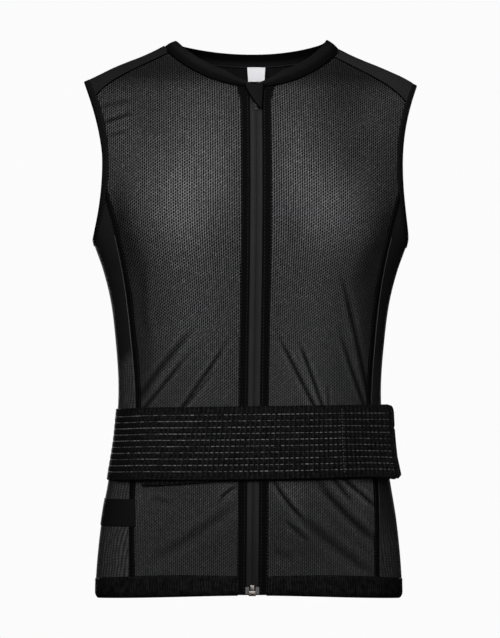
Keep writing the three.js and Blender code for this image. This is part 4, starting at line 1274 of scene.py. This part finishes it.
def belt_outline():
    across = np.linspace(0.012, 0.988, 150)
    inside = (across > BELT_MARGIN) & (across < 1 - BELT_MARGIN)
    rib = np.abs(np.sin(math.pi * (across - BELT_MARGIN) / LINE_PITCH)) ** 0.6
    edge_line = bell(np.minimum(across, 1 - across), 0.036, 0.007)
    top = BELT_THICK - 0.1 + np.where(inside, BELT_RIB * rib, 0.35) - 0.4 * edge_line
    face = np.stack([across[::-1], top[::-1]], -1)
    low_edge = np.array([(0.003, 1.5), (0.0, 1.0), (0.003, 0.4)])
    under = np.stack([np.linspace(0.012, 0.988, 9), np.zeros(9)], -1)
    high_edge = np.array([(0.997, 0.4), (1.0, 1.0), (0.997, 1.5)])
    return np.concatenate([face, low_edge, under, high_edge])


def belt_height(x, across):
    return mix(BELT_BOTTOM, BELT_TOP, across) + BELT_TILT * x - BELT_SIDE_SAG * smoothstep(-x, 110, 165)


def pad_side_angle(across):
    """Angle of the pad's side, where the belt starts, at a share of the belt's height."""
    height = mix(BELT_BOTTOM, BELT_TOP, across)
    return angle_at(BACK, pad_half(height) + 2, height)


def under_place(u, across):
    angle = mix(pad_side_angle(across), angle_at(FRONT, UNDER_END_X, BELT_MIDDLE), u)
    x = ring_point(angle, BELT_MIDDLE, False)[..., 0]
    sag = np.where(np.cos(angle) > 0, UNDER_SAG * (1 - smoothstep(x, UNDER_END_X, UNDER_SAG_FROM)), 0)
    return ring_point(angle, belt_height(x, across) - 1.5 - sag, False)


def on_waist(angle, across):
    x = ring_point(angle, BELT_MIDDLE, False)[..., 0]
    return ring_point(angle, belt_height(x, across), False)


def over_place(u, across, start=0.0):
    along = mix(start, 1, u)
    share = np.minimum(along, BELT_FOLLOW) / BELT_FOLLOW
    spot = on_waist(mix(-pad_side_angle(across), BELT_LEAVE, share), across)
    heading = unit(on_waist(BELT_LEAVE + 0 * along, across) - on_waist(BELT_LEAVE - 0.02 + 0 * along, across))
    past = np.maximum(0, along - BELT_FOLLOW) / (1 - BELT_FOLLOW)
    spot[..., 2] -= BELT_DROOP * np.sin(math.pi * across) * past + BELT_CORNER * (1 - across) ** 3 * past ** 3
    return spot + heading * (past * (BELT_FREE + np.interp(across, *BELT_END.T)))[..., None]


def patch_place(u, across):
    return over_place(0.94 * u, mix(0.06, 0.94, across), PATCH_START)


def over_rise(u):
    return mix(SIDE_LIFT, OVER_LIFT, smoothstep(u, *LIFT_FROM))


def under_rise(u):
    return mix(SIDE_LIFT, UNDER_LIFT, smoothstep(u, *LIFT_FROM))


def belt_dashes(name, place, rise, ends):
    """Broken light threads along the belt's lines, uneven in length and tone."""
    chance = np.random.default_rng(DASH["seed"])
    u = np.linspace(*ends, 400)
    run = run_along(place(u, 0.5 + 0 * u))
    at = np.interp(np.arange(DASH["pitch"] / 2, run[-1], DASH["pitch"]), run, u)
    count, knots = len(at), np.arange(0, len(at) + DASH["knots"] + 1, DASH["knots"])
    rows = []
    for line in range(BELT_LINES):
        across = np.full(count, BELT_MARGIN + LINE_PITCH * line)
        along = unit(place(at + 0.002, across) - place(at - 0.002, across))
        spot, square = lifted(place, at, across, rise(at) + BELT_THICK + 0.1)
        spot = spot + along * chance.normal(0, 0.3, count)[:, None]
        slow = np.interp(np.arange(count), knots, chance.uniform(0, 1, len(knots)))
        rows.append((spot, along, square, np.clip(0.15 + 0.5 * slow + chance.normal(0, 0.2, count), 0, 1)))
    centres, along, square, tint = (np.concatenate(part) for part in zip(*rows))
    lengths = DASH["length"] * chance.uniform(0.8, 1.1, len(centres))
    lengths *= mix(1.22, 1.0, smoothstep(centres[:, 0], -120, -40))
    tint *= mix(1, 0.6, smoothstep(centres[:, 0], BELT_SEWN_X - 4, BELT_SEWN_X + 4))
    dashes = threads(name, centres, along, square, lengths, DASH["radius"], DASH_THREAD)
    tint_points(dashes, np.repeat(tint, len(dashes.data.vertices) // len(tint)))


belt_section = belt_outline()
for name, place, rise in (("under", under_place, under_rise), ("over", over_place, over_rise)):
    built = upright(band(place, belt_section, STEPS[name], rise=rise), len(belt_section))
    add_sheet(f"belt_{name}_elastic", built, BELT, f"belt_{name}")
built = band(patch_place, strip_outline(76, -1.6, -0.3, 8), STEPS["patch"], rise=lambda u: OVER_LIFT + 0 * u)
make_piece("hook_strip", built, HOOKS, "belt_hook_patch")
belt_dashes("belt_over_dashes", over_place, over_rise, (0.004, 0.985))
belt_dashes("belt_under_dashes", under_place, under_rise, (0.004, 0.99))

# Tab on the right side below the belt
TAB = {"front_low": 91, "back_low": 88.5, "tall": 32.5, "front": -139.5, "back_angle": 1.78}


def tab_place(u, across):
    height = mix(TAB["front_low"], TAB["back_low"], u) + TAB["tall"] * across
    return ring_point(mix(angle_at(FRONT, TAB["front"], height), -TAB["back_angle"], u), height, False)


built = band(tab_place, strip_outline(TAB["tall"], 0.8, 1.5, 8), STEPS["tab"])
make_piece("tab_cloth", built, TAB_CLOTH, "side_tab")

# Back protector: a soft pad in cells, with a piped edge
PAD_TOP = 568
PAD_BOTTOM = 112
PAD_THICK = 17
PAD_EDGE = 5
PAD_CELLS = 6
PAD_GROOVE_DEPTH = 5.5
PAD_LIFT = 2.5
PAD_CURVE = 0.16  # the grooves dip towards the middle by this share of a cell
PAD_SPLIT = 0.42  # the upright grooves are at this share of the half width
PIPE_RADIUS = 2.2
PIPE_ENDS = (0.004, 0.996)
PIPE_STEPS = (60, 120)  # along the ends and the sides


def pad_place(u, v):
    height = mix(PAD_BOTTOM, PAD_TOP, v)
    return form_point(BACK, (2 * u - 1) * pad_half(height), height)


def pad_thickness(u, v):
    across = 2 * u - 1
    edge = np.minimum(1 - np.abs(across), 2.2 * np.minimum(v, 1 - v))
    full = mix(PAD_EDGE, PAD_THICK, np.sqrt(smoothstep(edge, 0, 0.2)))
    row = v * PAD_CELLS + PAD_CURVE * (1 - across ** 2)
    field = (row > 0.5) & (row < PAD_CELLS - 0.5)
    level = np.where(field, smoothstep(np.abs(row % 1 - 0.5) * 2, 0.7, 1.0), 0)
    upright = 0.85 * bell(np.abs(across), PAD_SPLIT, 0.035) * smoothstep(edge, 0.08, 0.34)
    return PAD_LIFT + full - PAD_GROOVE_DEPTH * np.maximum(level, upright)


built = shell(pad_place, *both("pad"), 1.2, pad_thickness)
pad = make_piece("back_pad", built, PAD, "back_protector", False)
low, high = PIPE_ENDS
ends, sides = [np.linspace(low, high, count) for count in PIPE_STEPS]
u = np.concatenate([ends, np.full(len(sides), high), ends[::-1], np.full(len(sides), low)])
v = np.concatenate([np.full(len(ends), low), sides, np.full(len(ends), high), sides[::-1]])
cord_on("pad_piping", pad_place, u, v, PAD_LIFT + 1.6, PIPE_RADIUS, TAPE, True)

# Small label inside the back of the neck
LABEL_MIDDLE = 9.4
LABEL_TOP = 660.4
LABEL_LONG = 18.4
LABEL_HALF = (10.2, 11.3)  # at the foot and at the top


def label_place(u, v):
    x = LABEL_MIDDLE + (2 * u - 1) * mix(*LABEL_HALF, v)
    top = form_point(BACK, x, np.full(np.broadcast(u, v).shape, LABEL_TOP))
    return top + joined(0 * u, -2.4 - 2 * (1 - v) - 0.6 * np.sin(math.pi * u), -LABEL_LONG * (1 - v))


built = shell(label_place, *both("label"), -0.25, 0.25)
add_sheet("label_cloth", built, LABEL, "neck_label")

# Painted shadow along the seams, as thin dark cords, and the light thread on the edge of each side tape, with
# a painted highlight
SEAM_RADIUS = 0.75
# Painted highlight along each tape's edge thread: base tone, most added, height and reach
PAINTED_TAPE_SHINE = {"base": 0.03, "most": 0.16, "height": 330, "reach": 70}
# Painted shadow lines: near-black cords along the yoke seams and the collar seam
for name, hand in HANDS.items():
    u = np.linspace(0, 1, 90)
    for end, v in (("front", 0.0), ("back", 1.0)):
        edge = np.full(u.shape, v)
        cord_on(f"yoke_seam_shadow_{end}_{name}", yoke_place(hand), u, edge, 0.9, SEAM_RADIUS, SEAM_SHADOW_AND_OVERLOCK)
for name, ends in (("back", (0.0, 0.7)), ("right", (0.8, 1.0))):
    u = np.linspace(*ends, 200)
    cord_on(f"collar_seam_shadow_{name}", collar_place, u, 0 * u, 1.2, SEAM_RADIUS, SEAM_SHADOW_AND_OVERLOCK)
for name, hand in HANDS.items():
    u = np.linspace(0.02, 0.9, 220)
    thread = cord_on(f"tape_edge_highlight_{name}", tape_place(hand), u, 1 + 0 * u, 0.9, 0.5, DASH_THREAD)
    height = lifted(tape_place(hand), u, 1 + 0 * u, 0.9)[0][:, 2]
    painted_tape_shine = PAINTED_TAPE_SHINE["base"] + PAINTED_TAPE_SHINE["most"] * bell(height, PAINTED_TAPE_SHINE["height"], PAINTED_TAPE_SHINE["reach"])
    tint_points(thread, np.repeat(painted_tape_shine, CORD_SIDES))

# Stitching. Each line: patch, share across or along it, lift, ends and points
rows = [line_along(facing_place(hand), across, 1.05, (0.004, 0.992), 400)
        for hand in HANDS.values() for across in (0.26, 0.9)]
stitch_rows("facing_stitches", rows, GREY_THREAD)
rows = []
for hand in HANDS.values():
    rows += [line_along(tape_place(hand), across, 1.2, (0.002, 0.985), 300) for across in (0.16, 0.84)]
    rows += [line_along(binding_place(hand), 0.8, 1.5, (0.001, 0.999), 500)]
    rows += [line_along(yoke_place(hand), v, CLOTH + 0.6, (0.01, 0.99), 120) for v in (0.06, 0.96)]
rows += [line_along(collar_place, 0.16, 1.3, (0.004, 0.996), 500)]
rows += [line_along(hem_place, across, 1.35, (0.004, 0.996), 500) for across in (0.86, 0.93)]
rows += [line_across(tab_place, 0.05, 1.55, (0.05, 0.95), 60)]
rows += [line_across(back_place, u, CLOTH + 0.1, (0.02, 0.72), 200) for u in (0.02, 0.98)]
stitch_rows("seam_stitches", rows, BLACK_THREAD)
u = np.linspace(0.5, 1, 400)
belt_x = over_place(u, 0.5 + 0 * u)[:, 0]
for name, x, thread in (("patch", BELT_SEWN_X, BELT_END_THREAD), ("end", BELT_END_X, GREY_THREAD)):
    row = line_across(over_place, np.interp(x, belt_x, u), OVER_LIFT + BELT_THICK + 0.5, (0.06, 0.94), 200)
    stitch_rows(f"belt_{name}_stitches", [row], thread, pitch=3.7, length=2.4, radius=0.4)
across = np.linspace(0.02, 0.98, 120)
wavy = 0.35 * np.sin(np.arange(120) * 1.9)
cord_on("belt_overlock", over_place, 1 + 0 * across, across, OVER_LIFT + 1 + wavy, 1.25, SEAM_SHADOW_AND_OVERLOCK)
rows = [line_along(label_place, 0.95, -0.3, (0.03, 0.97), 60)]
stitch_rows("label_stitches", rows, WHITE_THREAD, pitch=2.2, length=1.6, radius=0.2)

# Floor, light and camera
FLOOR_HEIGHT = -1.42
FLOOR_RADIUS = 6.0
FLOOR_SIDES = 96
FLOOR_GLOW = 0.62  # the floor is lit from below like a light table, and throws none of it on the vest
BACKDROP = 0.966
FILL = 0.06
VIEW = {
    "azimuth": -3.0, "elevation": -2.0, "distance": 3.0, "target": (0, 0, -0.332), "roll": 0.25,
    "lens": 137.6,
}
LIGHTS = [  # name, place, aim, size, power
    ("key", (-0.3, -1.3, 0.17), (0, -0.1, -0.2), (1.1, 0.8), 19.0),
    ("top", (0.1, -0.5, 1.0), (0, 0, -0.1), (1.0, 0.6), 6.0),
    ("front_fill", (0.9, -2.2, -0.2), (0, 0, -0.3), (1.6, 1.6), 8.0),
    ("back", (0.5, 2.1, 0.06), (0, 0.1, -0.3), (0.8, 0.4), 72.0),
    ("back_side", (-0.42, 1.9, -0.3), (0, 0.1, -0.35), (0.4, 0.9), 34.0),
]
link = bpy.context.scene.collection.objects.link


def build_stage():
    turns = [2 * math.pi * side / FLOOR_SIDES for side in range(FLOOR_SIDES)]
    spots = [(FLOOR_RADIUS * math.cos(turn), FLOOR_RADIUS * math.sin(turn), FLOOR_HEIGHT) for turn in turns]
    mesh = bpy.data.meshes.new("floor")
    mesh.from_pydata(spots, [], [list(range(FLOOR_SIDES))])
    look = Look("floor_paint", 0.9, 0.1)
    look.colour(look.noise(3.0), (0.86, 0.86, 0.86), (0.9, 0.9, 0.9))
    look.shader.inputs["Emission Color"].default_value = (1, 1, 1, 1)
    look.shader.inputs["Emission Strength"].default_value = FLOOR_GLOW
    mesh.materials.append(look.material)
    floor = bpy.data.objects.new("floor", mesh)
    floor.visible_diffuse = False
    floor.visible_glossy = False
    link(floor)


def build_light():
    world = bpy.data.worlds.new("studio")
    bpy.context.scene.world = world
    world.use_nodes = True
    tree = world.node_tree
    shade = tree.nodes["Background"]
    path = tree.nodes.new("ShaderNodeLightPath")
    level = tree.nodes.new("ShaderNodeMapRange")
    level.inputs["To Min"].default_value = FILL
    level.inputs["To Max"].default_value = BACKDROP
    tree.links.new(path.outputs["Is Camera Ray"], level.inputs["Value"])
    tree.links.new(level.outputs[0], shade.inputs["Strength"])
    shade.inputs["Color"].default_value = (1, 1, 1, 1)
    for name, place, aim, size, power in LIGHTS:
        lamp = bpy.data.lights.new(name, "AREA")
        lamp.shape = "RECTANGLE"
        lamp.size, lamp.size_y = size
        lamp.energy = power
        obj = bpy.data.objects.new(name, lamp)
        obj.location = place
        obj.rotation_mode = "QUATERNION"
        obj.rotation_quaternion = (Vector(aim) - Vector(place)).to_track_quat("-Z", "Y")
        link(obj)


def build_camera():
    azimuth, elevation = math.radians(VIEW["azimuth"]), math.radians(VIEW["elevation"])
    level = math.cos(elevation)
    back = Vector((math.sin(azimuth) * level, -math.cos(azimuth) * level, math.sin(elevation)))
    data = bpy.data.cameras.new("camera")
    data.lens = VIEW["lens"]
    data.sensor_width = 36.0
    data.clip_start, data.clip_end = 0.1, 100.0
    camera = bpy.data.objects.new("camera", data)
    camera.location = Vector(VIEW["target"]) + back * VIEW["distance"]
    camera.rotation_mode = "QUATERNION"
    roll = Quaternion((0, 0, 1), math.radians(VIEW["roll"]))
    camera.rotation_quaternion = (-back).to_track_quat("-Z", "Y") @ roll
    link(camera)
    bpy.context.scene.camera = camera


build_stage()
build_light()
build_camera()
bpy.context.scene.view_settings.view_transform = "Standard"
